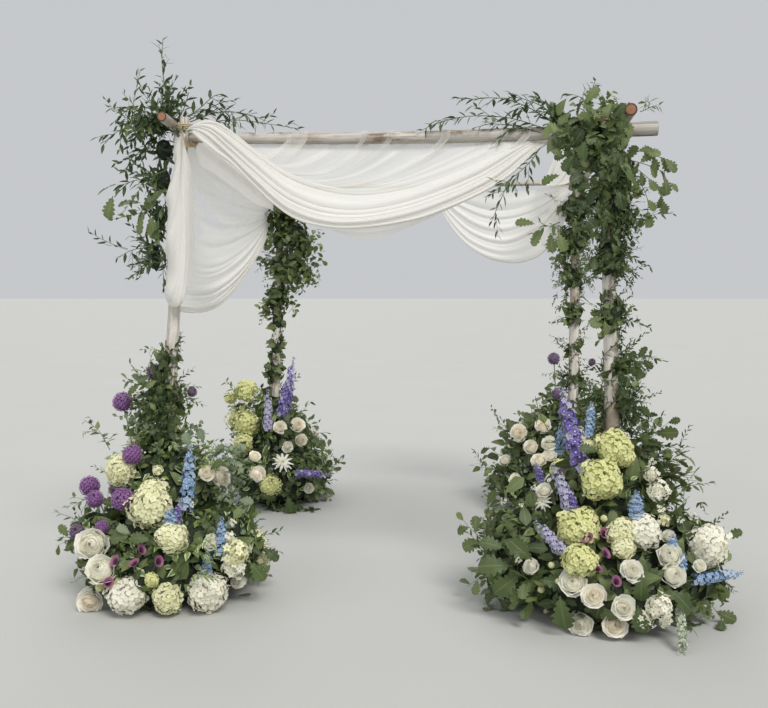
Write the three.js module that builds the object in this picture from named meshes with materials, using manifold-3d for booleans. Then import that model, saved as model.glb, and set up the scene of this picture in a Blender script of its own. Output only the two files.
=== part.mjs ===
// Floral ceremony arch: a square canopy of four peeled birch poles lashed to four
// rails, hung with sheer cloth, with greenery on its corners and posts and a
// flower bed round the foot of each post.
// Millimetres, +Z up, +X to the right seen from the front, +Y to the back.
// The origin is on the ground, midway between the four posts.

import * as THREE from 'three';
import { mergeVertices } from 'three/addons/utils/BufferGeometryUtils.js';
import Module from 'manifold-3d';

const wasm = await Module();
wasm.setup();

// Driving dimensions of the timber frame
const POST_LINE = 1200;
const FRONT_RAIL_HEIGHT = 2606;
const BACK_RAIL_HEIGHT = 2575;
const SIDE_RAIL_BACK_END = 1330;
const GAP = 0.3;

// Driving dimensions of the cloth
const CLOTH_THICKNESS = 14;
const COLLAR_THICKNESS = 9;
const COLLAR_WIDTH = 46;

// Driving dimensions of the rope
const ROPE_RADIUS = 9;

// Heights at which one piece of greenery ends and the next begins
const FRONT_LEFT_BED_TOP = 1010;
const FRONT_RIGHT_BED_TOP = 1040;
const FRONT_RIGHT_CORNER_FOOT = 2300;
const BACK_LEFT_BED_TOP = 930;
const BACK_RIGHT_BED_TOP = 900;
const SPRAY_TOP = 3200;

// Sides of the upright room that the front right garland has under its corner
const FRONT_RIGHT_GARLAND_SIDES = [1000, 1345];

// A distance outside everything
const FAR = 4000;

// Facets of the round shapes
const LOG_SIDES = 12;
const LOG_STEPS = 5;
const ROPE_SIDES = 4;
const ROPE_STEPS = 16;
const SPRIG_SIDES = 4;
const SPRIG_STEPS = 4;
const LOBE_DETAIL = 1;
const HEAD_DETAIL = 1;
const COLLAR_SIDES = 10;

const COLOUR = {
  birch: 0xcfc4b2,
  rail: 0xb9ab98,
  rope: 0xb89a6a,
  cloth: 0xf1eee6,
  leaf: 0x3f5d36,
  oakLeaf: 0x55743d,
  cream: 0xe9e6c0,
  lime: 0xc3cc7c,
  purple: 0x7a4c9a,
  blue: 0x7f9fd0,
  violet: 0x5b4aa8,
};

const group = new THREE.Group();

function addMesh(name, geometry, colour, roughness) {
  geometry.computeVertexNormals();
  const material = new THREE.MeshStandardMaterial({ color: colour, roughness, metalness: 0 });
  const mesh = new THREE.Mesh(geometry, material);
  mesh.name = name;
  group.add(mesh);
}

// Solids: closed triangle meshes that can be joined and cut

function solidOf(geometry) {
  const bare = geometry.clone();
  bare.deleteAttribute('normal');
  bare.deleteAttribute('uv');
  const merged = mergeVertices(bare, 0.001);
  return new wasm.Manifold(new wasm.Mesh({
    numProp: 3,
    vertProperties: new Float32Array(merged.attributes.position.array),
    triVerts: new Uint32Array(merged.index.array),
  }));
}

function geometryOf(solid) {
  const mesh = solid.getMesh();
  const geometry = new THREE.BufferGeometry();
  const positions = new Float32Array(mesh.vertProperties);
  geometry.setAttribute('position', new THREE.BufferAttribute(positions, 3));
  geometry.setIndex(new THREE.BufferAttribute(new Uint32Array(mesh.triVerts), 1));
  return geometry;
}

function join(geometries) {
  return geometries.map(solidOf).reduce((sum, next) => sum.add(next));
}

function cut(solid, cutters) {
  return cutters.reduce((left, cutter) => left.subtract(cutter), solid);
}

// The main body of a solid, without the crumbs that a cut leaves beside it
function mainBody(solid) {
  return solid.decompose().reduce((best, next) => (next.volume() > best.volume() ? next : best));
}

function block(low, high) {
  const box = new THREE.BoxGeometry(...low.map((side, i) => high[i] - side));
  return solidOf(box.translate(...low.map((side, i) => (side + high[i]) / 2)));
}

// Everything between two heights
const slab = (low, high) => block([-FAR, -FAR, low], [FAR, FAR, high]);

// Moves every vertex of a geometry by a function of its position
function reshape(geometry, move) {
  const position = geometry.attributes.position;
  const point = new THREE.Vector3();
  for (let i = 0; i < position.count; i += 1) {
    point.fromBufferAttribute(position, i);
    move(point);
    position.setXYZ(i, point.x, point.y, point.z);
  }
  return geometry;
}

// Timber: four posts that lean in towards their heads, and four rails

const posts = {
  front_left_post: {
    y: -POST_LINE, foot: -1375, head: -1185, bow: 0, height: 2710, footRadius: 46, headRadius: 26,
  },
  front_right_post: {
    y: -POST_LINE, foot: 1248, head: 1151, bow: 8, height: 2640, footRadius: 46, headRadius: 33,
  },
  back_left_post: {
    y: POST_LINE, foot: -1300, head: -1196, bow: 6, height: 2640, footRadius: 38, headRadius: 27,
  },
  back_right_post: {
    y: POST_LINE, foot: 1172, head: 1182, bow: -6, height: 2640, footRadius: 45, headRadius: 33,
  },
};

function postAxisX(post, z) {
  const t = z / post.height;
  return THREE.MathUtils.lerp(post.foot, post.head, t) + post.bow * Math.sin(Math.PI * t);
}

function postRadius(post, z) {
  return THREE.MathUtils.lerp(post.footRadius, post.headRadius, z / post.height);
}

// Its sections stay level from the foot up, so that the foot stands flat
function postGeometry(post, grow = 0) {
  const pole = new THREE.CylinderGeometry(1, 1, 1, LOG_SIDES, LOG_STEPS);
  pole.rotateX(Math.PI / 2);
  return reshape(pole, (p) => {
    const z = (p.z + 0.5) * post.height;
    const radius = postRadius(post, z) + grow;
    p.x = postAxisX(post, z) + p.x * radius;
    p.y = post.y + p.y * radius;
    p.z = z + 2 * grow * p.z;
  });
}

// The cross rails lie against the inner faces of the posts. The side rails rest on the
// cross rails on the right, and are tied to the outer faces of the posts on the left.
const headOf = (post, z) => [postAxisX(post, z), postRadius(post, z) + GAP];
const [frontLeftX, frontLeftReach] = headOf(posts.front_left_post, FRONT_RAIL_HEIGHT);
const frontRightReach = headOf(posts.front_right_post, FRONT_RAIL_HEIGHT)[1];
const backLeftReach = headOf(posts.back_left_post, BACK_RAIL_HEIGHT)[1];
const [backRightX, backRightReach] = headOf(posts.back_right_post, BACK_RAIL_HEIGHT);

const rails = {
  front_beam: {
    start: [frontLeftX - 18, frontLeftReach + 29 - POST_LINE, FRONT_RAIL_HEIGHT],
    end: [1440, frontRightReach + 41 - POST_LINE, FRONT_RAIL_HEIGHT],
    startRadius: 29,
    endRadius: 40,
    sag: 24,
  },
  back_beam: {
    start: [-1290, POST_LINE - backLeftReach - 25, BACK_RAIL_HEIGHT],
    end: [1310, POST_LINE - backRightReach - 22.2, BACK_RAIL_HEIGHT],
    startRadius: 25,
    endRadius: 22,
    sag: 6,
  },
  left_beam: {
    start: [-1243, -1410, 2680],
    end: [-1258, SIDE_RAIL_BACK_END, 2420],
    startRadius: 28,
    endRadius: 25,
    sag: 0,
  },
  right_beam: {
    start: [1278, -1300, 2678.6],
    end: [backRightX + backRightReach + 27.5, SIDE_RAIL_BACK_END, 2620.6],
    startRadius: 34,
    endRadius: 27,
    sag: 0,
  },
};

function railPoint(rail, t) {
  const point = new THREE.Vector3(...rail.start).lerp(new THREE.Vector3(...rail.end), t);
  point.z -= rail.sag * Math.sin(Math.PI * t);
  return point;
}

const railRadius = (rail, t) => THREE.MathUtils.lerp(rail.startRadius, rail.endRadius, t);
const railShareAtX = (rail, x) => (x - rail.start[0]) / (rail.end[0] - rail.start[0]);
const railShareAtY = (rail, y) => (y - rail.start[1]) / (rail.end[1] - rail.start[1]);

function railGeometry(rail, grow = 0) {
  const pole = new THREE.CylinderGeometry(1, 1, 1, LOG_SIDES, LOG_STEPS);
  const along = new THREE.Vector3(...rail.end).sub(new THREE.Vector3(...rail.start)).normalize();
  const side = new THREE.Vector3().crossVectors(along, new THREE.Vector3(0, 0, 1)).normalize();
  const up = new THREE.Vector3().crossVectors(side, along);
  return reshape(pole, (p) => {
    const t = p.y + 0.5;
    const radius = railRadius(rail, t) + grow;
    const centre = railPoint(rail, t).addScaledVector(along, 2 * p.y * grow);
    p.copy(centre.addScaledVector(side, -p.z * radius).addScaledVector(up, p.x * radius));
  });
}

const timber = [
  ...Object.values(posts).map((post) => solidOf(postGeometry(post, GAP))),
  ...Object.values(rails).map((rail) => solidOf(railGeometry(rail, GAP))),
];

// Rope: one thick loop round each crossing, in front of the post and behind the rail

function closedTube(points, radius) {
  const curve = new THREE.CatmullRomCurve3(points, true, 'centripetal');
  const frames = curve.computeFrenetFrames(ROPE_STEPS, true);
  const ringRadius = 2;
  const ring = new THREE.TorusGeometry(ringRadius, 1, ROPE_SIDES, ROPE_STEPS);
  return reshape(ring, (p) => {
    const turn = Math.atan2(p.y, p.x) / (2 * Math.PI) + 1;
    const step = Math.round(turn * ROPE_STEPS) % ROPE_STEPS;
    const out = Math.hypot(p.x, p.y) - ringRadius;
    const lift = p.z;
    p.copy(curve.getPointAt(step / ROPE_STEPS));
    p.addScaledVector(frames.normals[step], -out * radius);
    p.addScaledVector(frames.binormals[step], lift * radius);
  });
}

function lashing(post, rail) {
  const t = railShareAtX(rail, postAxisX(post, rail.start[2]));
  const onRail = railPoint(rail, t);
  const onPost = new THREE.Vector3(onRail.x, post.y, onRail.z);
  const inward = Math.sign(onRail.y - onPost.y);
  const postReach = postRadius(post, onRail.z) + ROPE_RADIUS + 1;
  const railReach = railRadius(rail, t) + ROPE_RADIUS + 1;
  const between = (onRail.y - onPost.y) * 0.45;
  const at = (centre, x, y, z) => centre.clone().add(new THREE.Vector3(x, y, z));
  const loop = closedTube([
    at(onPost, 0, -inward * postReach, railReach),
    at(onPost, postReach, between, railReach),
    at(onRail, postReach, inward * railReach, 0),
    at(onPost, postReach, between, -railReach),
    at(onPost, 0, -inward * postReach, -railReach),
    at(onPost, -postReach, between, -railReach),
    at(onRail, -postReach, inward * railReach, 0),
    at(onPost, -postReach, between, railReach),
  ], ROPE_RADIUS);
  return mainBody(cut(solidOf(loop), timber));
}

const lashings = {
  front_left_lashing: lashing(posts.front_left_post, rails.front_beam),
  front_right_lashing: lashing(posts.front_right_post, rails.front_beam),
  back_left_lashing: lashing(posts.back_left_post, rails.back_beam),
  back_right_lashing: lashing(posts.back_right_post, rails.back_beam),
};

// Cloth: sheets that hang from the rails by collars where they are thrown over them

function curveThrough(points) {
  const curve = new THREE.CatmullRomCurve3(points.map((p) => new THREE.Vector3(...p)), false, 'centripetal');
  return (t) => curve.getPoint(THREE.MathUtils.clamp(t, 0, 1));
}

// A sheet between its head line and its hem, with a belly that hangs out from both
function sheetGeometry(sheet, grow = 0) {
  const flat = new THREE.BoxGeometry(1, 1, 1, sheet.across, sheet.down, 1);
  const head = curveThrough(sheet.head);
  const hem = curveThrough(sheet.hem);
  const belly = new THREE.Vector3(...sheet.belly);
  const surface = (u, v) => head(u).lerp(hem(u), v)
    .addScaledVector(belly, Math.sin(Math.PI * v) * Math.sin(Math.PI * u));
  const step = 0.01;
  return reshape(flat, (p) => {
    const u = p.x + 0.5;
    const v = 0.5 - p.y;
    const alongU = surface(u + step, v).sub(surface(u - step, v));
    const alongV = surface(u, v + step).sub(surface(u, v - step));
    const normal = new THREE.Vector3().crossVectors(alongV, alongU).normalize();
    const reach = p.z * (CLOTH_THICKNESS + 2 * grow);
    const edge = alongV.normalize().multiplyScalar(-2 * p.y * grow);
    const end = alongU.normalize().multiplyScalar(2 * p.x * grow);
    p.copy(surface(u, v).addScaledVector(normal, reach).add(edge).add(end));
  });
}

// A band of gathered cloth that passes over a rail
function collar(rail, t, grow = 0) {
  const band = new THREE.CylinderGeometry(1, 1, COLLAR_WIDTH + 2 * grow, COLLAR_SIDES);
  const along = new THREE.Vector3(...rail.end).sub(new THREE.Vector3(...rail.start)).normalize();
  const turn = new THREE.Quaternion().setFromUnitVectors(new THREE.Vector3(0, 1, 0), along);
  const radius = railRadius(rail, t) + COLLAR_THICKNESS + grow;
  band.scale(radius, 1, radius);
  band.applyQuaternion(turn);
  band.translate(...railPoint(rail, t).toArray());
  return band;
}

const frontUnder = (x) => {
  const t = railShareAtX(rails.front_beam, x);
  const point = railPoint(rails.front_beam, t);
  return [x, point.y, point.z - railRadius(rails.front_beam, t) - 4];
};
const backUnder = (x) => {
  const t = railShareAtX(rails.back_beam, x);
  const point = railPoint(rails.back_beam, t);
  return [x, point.y, point.z - railRadius(rails.back_beam, t) - 4];
};
const leftBeside = (y) => {
  const t = railShareAtY(rails.left_beam, y);
  const point = railPoint(rails.left_beam, t);
  return [point.x - railRadius(rails.left_beam, t) - CLOTH_THICKNESS / 2 - 1, y, point.z];
};

const sheets = {
  front_swag: {
    head: [-1120, -900, -600, -300, 0, 300, 600, 880].map(frontUnder),
    hem: [
      [-1120, -1235, 2480], [-900, -1270, 2330], [-600, -1290, 2165], [-300, -1290, 2070],
      [-60, -1290, 2040], [230, -1290, 2130], [550, -1270, 2290], [880, -1200, 2500],
    ],
    belly: [0, -70, 0],
    across: 14,
    down: 3,
  },
  left_swag: {
    head: [[-1165, -1262, 2590], [-1240, -1268, 2600], ...[-1190, -700, 0, 600, 1140].map(leftBeside)],
    hem: [
      [-1190, -1285, 1740], [-1290, -1300, 1700], [-1345, -1170, 1660], [-1340, -600, 1610],
      [-1330, -60, 1700], [-1310, 600, 1930], [-1290, 1140, 2330],
    ],
    belly: [-30, 0, 0],
    across: 14,
    down: 3,
  },
  back_swag: {
    head: [20, 250, 500, 800, 1110].map(backUnder),
    hem: [
      [20, 1150, 2500], [180, 1170, 2240], [480, 1200, 1990], [720, 1205, 1950], [930, 1190, 2040],
      [1110, 1155, 2330],
    ],
    belly: [0, 40, 0],
    across: 10,
    down: 3,
  },
  back_left_swag: {
    head: [-1130, -800, -500, -200, -10].map(backUnder),
    hem: [[-1130, 1150, 2440], [-820, 1170, 2330], [-520, 1180, 2290], [-240, 1170, 2340], [-10, 1150, 2490]],
    belly: [0, 30, 0],
    across: 8,
    down: 2,
  },
  right_drape: {
    head: [[930, -1105, 2570], [900, -500, 2530], [890, 300, 2510], [900, 1136, 2562]],
    hem: [[1185, -1105, 2585], [1190, -500, 2570], [1160, 300, 2550], [1080, 1136, 2567]],
    belly: [0, 0, -45],
    across: 8,
    down: 2,
  },
};

const collars = {
  front_swag: [-1060, -300, 800].map((x) => [rails.front_beam, x, railShareAtX]),
  left_swag: [-900, 1060].map((y) => [rails.left_beam, y, railShareAtY]),
  back_swag: [100, 850].map((x) => [rails.back_beam, x, railShareAtX]),
  back_left_swag: [-1060, -90].map((x) => [rails.back_beam, x, railShareAtX]),
  right_drape: [],
};

function clothSolid(name, grow = 0) {
  const bands = collars[name].map(([rail, at, share]) => collar(rail, share(rail, at), grow));
  return join([sheetGeometry(sheets[name], grow), ...bands]);
}

// Greenery: lumpy masses of leaves with sprigs that reach out of them

// One rounded mass of leaves, uneven like a bush
function lobe([x, y, z, rx, ry, rz]) {
  const ball = new THREE.IcosahedronGeometry(1, LOBE_DETAIL);
  return reshape(ball, (p) => {
    const wave = Math.sin(5.1 * p.x + x) * Math.sin(4.3 * p.y + y) * Math.sin(4.7 * p.z + z);
    p.multiplyScalar(1 + 0.07 * wave);
    p.set(x + p.x * rx, y + p.y * ry, z + p.z * rz);
  });
}

// A leafy sprig along a bent line, widest near a third of its length
function sprig([from, bend, to, radius]) {
  const spine = new THREE.QuadraticBezierCurve3(
    new THREE.Vector3(...from),
    new THREE.Vector3(...bend),
    new THREE.Vector3(...to),
  );
  const rod = new THREE.CylinderGeometry(1, 1, 1, SPRIG_SIDES, SPRIG_STEPS);
  const side = new THREE.Vector3();
  const up = new THREE.Vector3();
  return reshape(rod, (p) => {
    const t = p.y + 0.5;
    const tangent = spine.getTangent(t);
    side.crossVectors(tangent, new THREE.Vector3(0.31, 0.95, 0.05)).normalize();
    up.crossVectors(side, tangent);
    const width = radius * (0.25 + 0.75 * Math.sin(Math.PI * (0.25 + 0.7 * t)));
    p.copy(spine.getPoint(t).addScaledVector(side, p.x * width).addScaledVector(up, p.z * width));
  });
}

function greenery({ lobes, sprigs }, cutters) {
  const parts = [...lobes.map((shape) => lobe(shape)), ...sprigs.map(sprig)];
  return mainBody(cut(join(parts), cutters));
}

const corners = {
  front_left_corner_greenery: {
    from: FRONT_LEFT_BED_TOP,
    to: SPRAY_TOP,
    lobes: [
      [-1320, -1170, 2690, 85, 130, 100],
      [-1335, -1130, 2540, 85, 140, 120],
      [-1345, -1120, 2370, 75, 120, 130],
      [-1375, -1100, 2150, 55, 80, 150],
      [-1400, -1110, 1920, 50, 70, 150],
    ],
    sprigs: [
      [[-1330, -1200, 2700], [-1380, -1230, 2900], [-1288, -1250, 3165], 42],
      [[-1340, -1180, 2680], [-1400, -1230, 2790], [-1520, -1270, 2790], 50],
      [[-1350, -1180, 2660], [-1480, -1240, 2720], [-1600, -1290, 2650], 55],
      [[-1350, -1180, 2600], [-1480, -1260, 2640], [-1650, -1300, 2555], 50],
      [[-1350, -1160, 2450], [-1480, -1200, 2480], [-1560, -1220, 2400], 38],
      [[-1360, -1140, 2300], [-1480, -1180, 2330], [-1610, -1210, 2270], 36],
      [[-1380, -1120, 2150], [-1470, -1150, 2200], [-1500, -1200, 2150], 45],
      [[-1400, -1120, 1960], [-1500, -1160, 2010], [-1610, -1200, 1900], 34],
      [[-1300, -1200, 2740], [-1220, -1230, 2850], [-1140, -1230, 2850], 42],
      [[-1290, -1160, 2730], [-1050, -1180, 2790], [-880, -1170, 2790], 42],
      [[-1250, -1150, 2730], [-900, -1180, 2740], [-540, -1160, 2662], 34],
    ],
  },
  front_right_corner_greenery: {
    from: FRONT_RIGHT_BED_TOP,
    to: SPRAY_TOP,
    outside: block(
      [FRONT_RIGHT_GARLAND_SIDES[0], -FAR, 0],
      [FRONT_RIGHT_GARLAND_SIDES[1], FAR, FRONT_RIGHT_CORNER_FOOT + GAP],
    ),
    lobes: [
      [1060, -1180, 2600, 190, 160, 150],
      [1170, -1190, 2510, 170, 170, 190],
      [1260, -1170, 2380, 120, 140, 120],
      [1400, -1170, 2310, 95, 95, 120],
      [920, -1150, 2640, 150, 110, 90],
    ],
    sprigs: [
      [[900, -1160, 2640], [640, -1180, 2760], [350, -1170, 2790], 55],
      [[900, -1150, 2660], [620, -1160, 2680], [150, -1150, 2640], 50],
      [[980, -1180, 2650], [800, -1190, 2820], [620, -1190, 2790], 60],
      [[1090, -1180, 2650], [1130, -1200, 2760], [1100, -1210, 2870], 42],
      [[1180, -1190, 2620], [1260, -1200, 2730], [1330, -1210, 2740], 45],
      [[1200, -1180, 2500], [1400, -1210, 2520], [1440, -1210, 2430], 60],
      [[1380, -1180, 2380], [1480, -1210, 2400], [1500, -1210, 2300], 55],
      [[900, -1200, 2600], [760, -1330, 2520], [530, -1345, 2130], 36],
    ],
  },
};

const garlands = {
  front_left_post_garland: {
    from: FRONT_LEFT_BED_TOP + GAP,
    to: SPRAY_TOP,
    lobes: [
      [-1330, -1200, 1120, 150, 130, 170],
      [-1300, -1205, 1330, 90, 90, 130],
    ],
    sprigs: [
      [[-1330, -1230, 1200], [-1260, -1290, 1330], [-1180, -1300, 1260], 45],
      [[-1320, -1210, 1300], [-1400, -1240, 1420], [-1440, -1240, 1360], 36],
    ],
  },
  front_right_post_garland: {
    from: FRONT_RIGHT_BED_TOP + GAP,
    to: FRONT_RIGHT_CORNER_FOOT,
    lobes: [
      [1195, -1205, 2180, 140, 130, 190],
      [1195, -1205, 1900, 125, 115, 190],
      [1205, -1205, 1600, 115, 110, 200],
      [1225, -1205, 1300, 135, 120, 200],
      [1240, -1210, 1120, 160, 140, 160],
    ],
    sprigs: [
      [[1230, -1220, 2150], [1340, -1250, 2150], [1370, -1250, 2060], 45],
      [[1110, -1230, 2130], [980, -1260, 2150], [850, -1280, 2060], 50],
      [[1230, -1210, 1850], [1340, -1240, 1860], [1360, -1240, 1760], 38],
      [[1230, -1210, 1580], [1340, -1240, 1600], [1370, -1240, 1500], 38],
      [[1240, -1210, 1320], [1360, -1240, 1340], [1400, -1240, 1250], 42],
    ],
  },
  back_left_post_garland: {
    from: BACK_LEFT_BED_TOP + GAP,
    to: SPRAY_TOP,
    lobes: [
      [-1130, 1190, 2380, 210, 160, 150],
      [-1110, 1195, 2180, 240, 160, 160],
      [-1150, 1200, 1930, 250, 150, 170],
      [-1230, 1200, 1680, 130, 110, 150],
      [-1235, 1200, 1480, 80, 80, 150],
      [-1245, 1200, 1260, 75, 75, 150],
      [-1265, 1200, 1060, 100, 95, 150],
    ],
    sprigs: [
      [[-1040, 1180, 2250], [-880, 1150, 2290], [-820, 1130, 2200], 50],
      [[-1040, 1180, 1930], [-900, 1150, 1950], [-810, 1130, 1850], 50],
    ],
  },
  back_right_post_garland: {
    from: BACK_RIGHT_BED_TOP + GAP,
    to: SPRAY_TOP,
    lobes: [
      [1150, 1200, 2370, 190, 150, 170],
      [1150, 1200, 2120, 170, 140, 190],
      [1160, 1200, 1830, 140, 120, 200],
      [1165, 1200, 1540, 115, 110, 200],
      [1165, 1200, 1260, 120, 110, 190],
      [1165, 1200, 1030, 140, 130, 170],
    ],
    sprigs: [
      [[1070, 1180, 2100], [940, 1140, 2120], [850, 1120, 2020], 50],
      [[1200, 1210, 1900], [1330, 1240, 1930], [1370, 1250, 1820], 42],
      [[1080, 1190, 1500], [990, 1150, 1530], [930, 1130, 1440], 40],
    ],
  },
};

// Flower beds: foliage round the foot of each post, cut flat where it lies on the ground

const beds = {
  front_left_bed: {
    from: 0,
    to: FRONT_LEFT_BED_TOP,
    lobes: [
      [-1280, -1240, 230, 480, 520, 330],
      [-1310, -1220, 560, 330, 320, 330],
      [-1335, -1200, 850, 190, 180, 250],
      [-1600, -1380, 260, 190, 200, 230],
      [-960, -1330, 270, 230, 240, 250],
      [-1300, -1600, 170, 330, 190, 180],
    ],
    sprigs: [
      [[-950, -1250, 500], [-830, -1300, 760], [-790, -1330, 900], 60],
      [[-900, -1250, 450], [-740, -1300, 600], [-680, -1320, 560], 55],
      [[-1350, -900, 500], [-1500, -780, 800], [-1560, -700, 900], 55],
      [[-1600, -1250, 500], [-1700, -1200, 760], [-1690, -1180, 900], 45],
    ],
  },
  front_right_bed: {
    from: 0,
    to: FRONT_RIGHT_BED_TOP,
    lobes: [
      [1160, -1240, 230, 560, 520, 330],
      [1200, -1220, 560, 380, 330, 340],
      [1235, -1200, 850, 210, 190, 260],
      [1560, -1370, 270, 240, 230, 260],
      [760, -1280, 280, 250, 260, 290],
      [1200, -1600, 170, 380, 190, 180],
    ],
    sprigs: [
      [[1350, -1250, 700], [1480, -1350, 930], [1600, -1400, 930], 55],
      [[1450, -1250, 500], [1650, -1300, 720], [1770, -1330, 640], 55],
      [[700, -1150, 500], [560, -1100, 760], [520, -1080, 800], 50],
      [[1000, -850, 500], [900, -760, 800], [860, -720, 900], 55],
    ],
  },
  back_left_bed: {
    from: 0,
    to: BACK_LEFT_BED_TOP,
    lobes: [
      [-1230, 1195, 220, 430, 585, 310],
      [-1240, 1190, 500, 300, 360, 300],
      [-1270, 1190, 760, 180, 180, 230],
    ],
    sprigs: [
      [[-1050, 1100, 400], [-900, 1050, 620], [-840, 1030, 600], 50],
      [[-1400, 1200, 500], [-1560, 1250, 720], [-1600, 1270, 700], 50],
      [[-1200, 1500, 380], [-1150, 1760, 560], [-1130, 1835, 560], 50],
    ],
  },
  back_right_bed: {
    from: 0,
    to: BACK_RIGHT_BED_TOP,
    lobes: [
      [1000, 1190, 230, 480, 570, 320],
      [1040, 1190, 500, 360, 360, 300],
      [1150, 1190, 740, 180, 180, 220],
    ],
    sprigs: [
      [[800, 1050, 500], [660, 1000, 760], [610, 980, 780], 50],
      [[1300, 1250, 400], [1460, 1330, 640], [1530, 1360, 650], 50],
      [[1050, 1500, 380], [1000, 1760, 560], [980, 1835, 560], 50],
    ],
  },
};

// Blooms: heads on the beds, each [x, y, z, radius], and stems down into the beds

const hydrangeas = {
  front_left_hydrangea_1: [-1305, -1540, 540, 118],
  front_left_hydrangea_2: [-1345, -1760, 122, 100],
  front_left_hydrangea_3: [-1135, -1730, 104, 82],
  front_left_hydrangea_4: [-945, -1640, 118, 102],
  front_right_hydrangea_1: [1205, -1400, 905, 92],
  front_right_hydrangea_2: [1130, -1510, 750, 105],
  front_right_hydrangea_3: [1000, -1540, 495, 88],
  front_right_hydrangea_4: [1345, -1560, 500, 86],
  front_right_hydrangea_5: [1680, -1510, 430, 98],
  back_left_hydrangea: [-1450, 960, 660, 105],
};

const alliums = {
  front_left_allium_1: { head: [-1562, -1250, 1086, 60], foot: [-1480, -1290, 700] },
  front_left_allium_2: { head: [-1420, -1470, 818, 58], foot: [-1400, -1380, 660] },
  front_left_allium_3: { head: [-1755, -1290, 596, 62], foot: [-1640, -1330, 420] },
  back_right_allium_1: { head: [1008, 1060, 1196, 52], foot: [1020, 1120, 700] },
};

const spikes = {
  front_left_delphinium: { foot: [-1120, -1440, 520], tip: [-1105, -1400, 880], radius: 46 },
  front_right_delphinium_1: { foot: [1045, -1370, 770], tip: [930, -1290, 1230], radius: 58 },
  front_right_delphinium_2: { foot: [1590, -1600, 265], tip: [1850, -1580, 310], radius: 34 },
  back_left_delphinium: { foot: [-1140, 1040, 700], tip: [-1070, 1080, 1210], radius: 44 },
};

function headGeometry([x, y, z, radius], grow = 0) {
  const ball = new THREE.IcosahedronGeometry(radius + grow, HEAD_DETAIL);
  return ball.translate(x, y, z);
}

function stalk(from, to, radius) {
  const start = new THREE.Vector3(...from);
  const along = new THREE.Vector3(...to).sub(start);
  const rod = new THREE.CylinderGeometry(radius, radius, along.length(), 6);
  rod.translate(0, along.length() / 2, 0);
  rod.applyQuaternion(new THREE.Quaternion().setFromUnitVectors(
    new THREE.Vector3(0, 1, 0),
    along.clone().normalize(),
  ));
  return rod.translate(...from);
}

function alliumSolid({ head, foot }, grow = 0) {
  const stemRadius = 5;
  return join([headGeometry(head, grow), stalk(foot, head.slice(0, 3), stemRadius + grow)]);
}

function spikeGeometry({ foot, tip, radius }, grow = 0) {
  const shape = [[0, 0], [0.7, 0.04], [1, 0.2], [0.85, 0.5], [0.5, 0.82], [0.2, 0.97], [0, 1]];
  const start = new THREE.Vector3(...foot);
  const along = new THREE.Vector3(...tip).sub(start);
  const length = along.length() + 2 * grow;
  const outline = shape.map(([r, t]) => new THREE.Vector2(r * (radius + grow), t * length - grow));
  outline[0].x = 0;
  outline[outline.length - 1].x = 0;
  const body = new THREE.LatheGeometry(outline, 8);
  body.applyQuaternion(new THREE.Quaternion().setFromUnitVectors(
    new THREE.Vector3(0, 1, 0),
    along.normalize(),
  ));
  return body.translate(...foot);
}

// Put together

const bloomCutters = [
  ...Object.values(hydrangeas).map((head) => solidOf(headGeometry(head, GAP))),
  ...Object.values(alliums).map((allium) => alliumSolid(allium, GAP)),
  ...Object.values(spikes).map((spike) => solidOf(spikeGeometry(spike, GAP))),
];
const clothCutters = Object.keys(sheets).map((name) => clothSolid(name, GAP));
const ropeCutters = Object.values(lashings).map((rope) => {
  const { min, max } = rope.boundingBox();
  return block(min.map((side) => side - GAP), max.map((side) => side + GAP));
});

for (const [name, post] of Object.entries(posts)) {
  addMesh(name, postGeometry(post), COLOUR.birch, 0.8);
}
for (const [name, rail] of Object.entries(rails)) {
  addMesh(name, railGeometry(rail), COLOUR.rail, 0.85);
}
for (const [name, rope] of Object.entries(lashings)) {
  addMesh(name, geometryOf(rope), COLOUR.rope, 0.95);
}
for (const name of Object.keys(sheets)) {
  const cloth = mainBody(cut(clothSolid(name), [...timber, ...ropeCutters]));
  addMesh(name, geometryOf(cloth), COLOUR.cloth, 0.9);
}
for (const [name, mass] of Object.entries({ ...corners, ...garlands, ...beds })) {
  const limits = [slab(-FAR, mass.from), slab(mass.to, FAR)];
  if (mass.outside) limits.push(mass.outside);
  const cutters = [...timber, ...ropeCutters, ...clothCutters, ...bloomCutters, ...limits];
  addMesh(name, geometryOf(greenery(mass, cutters)), COLOUR.leaf, 0.8);
}
for (const [name, head] of Object.entries(hydrangeas)) {
  addMesh(name, headGeometry(head), name.startsWith('front_left') ? COLOUR.cream : COLOUR.lime, 0.85);
}
for (const [name, allium] of Object.entries(alliums)) {
  addMesh(name, geometryOf(alliumSolid(allium)), COLOUR.purple, 0.85);
}
for (const [name, spike] of Object.entries(spikes)) {
  addMesh(name, spikeGeometry(spike), name.endsWith('_2') ? COLOUR.blue : COLOUR.violet, 0.85);
}

export default group;
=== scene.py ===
"""Dresses the floral ceremony arch: peeled poles, sheer swags, leaves and flowers."""

import math

import bpy
import numpy as np
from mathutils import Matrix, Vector
from mathutils.bvhtree import BVHTree


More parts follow.
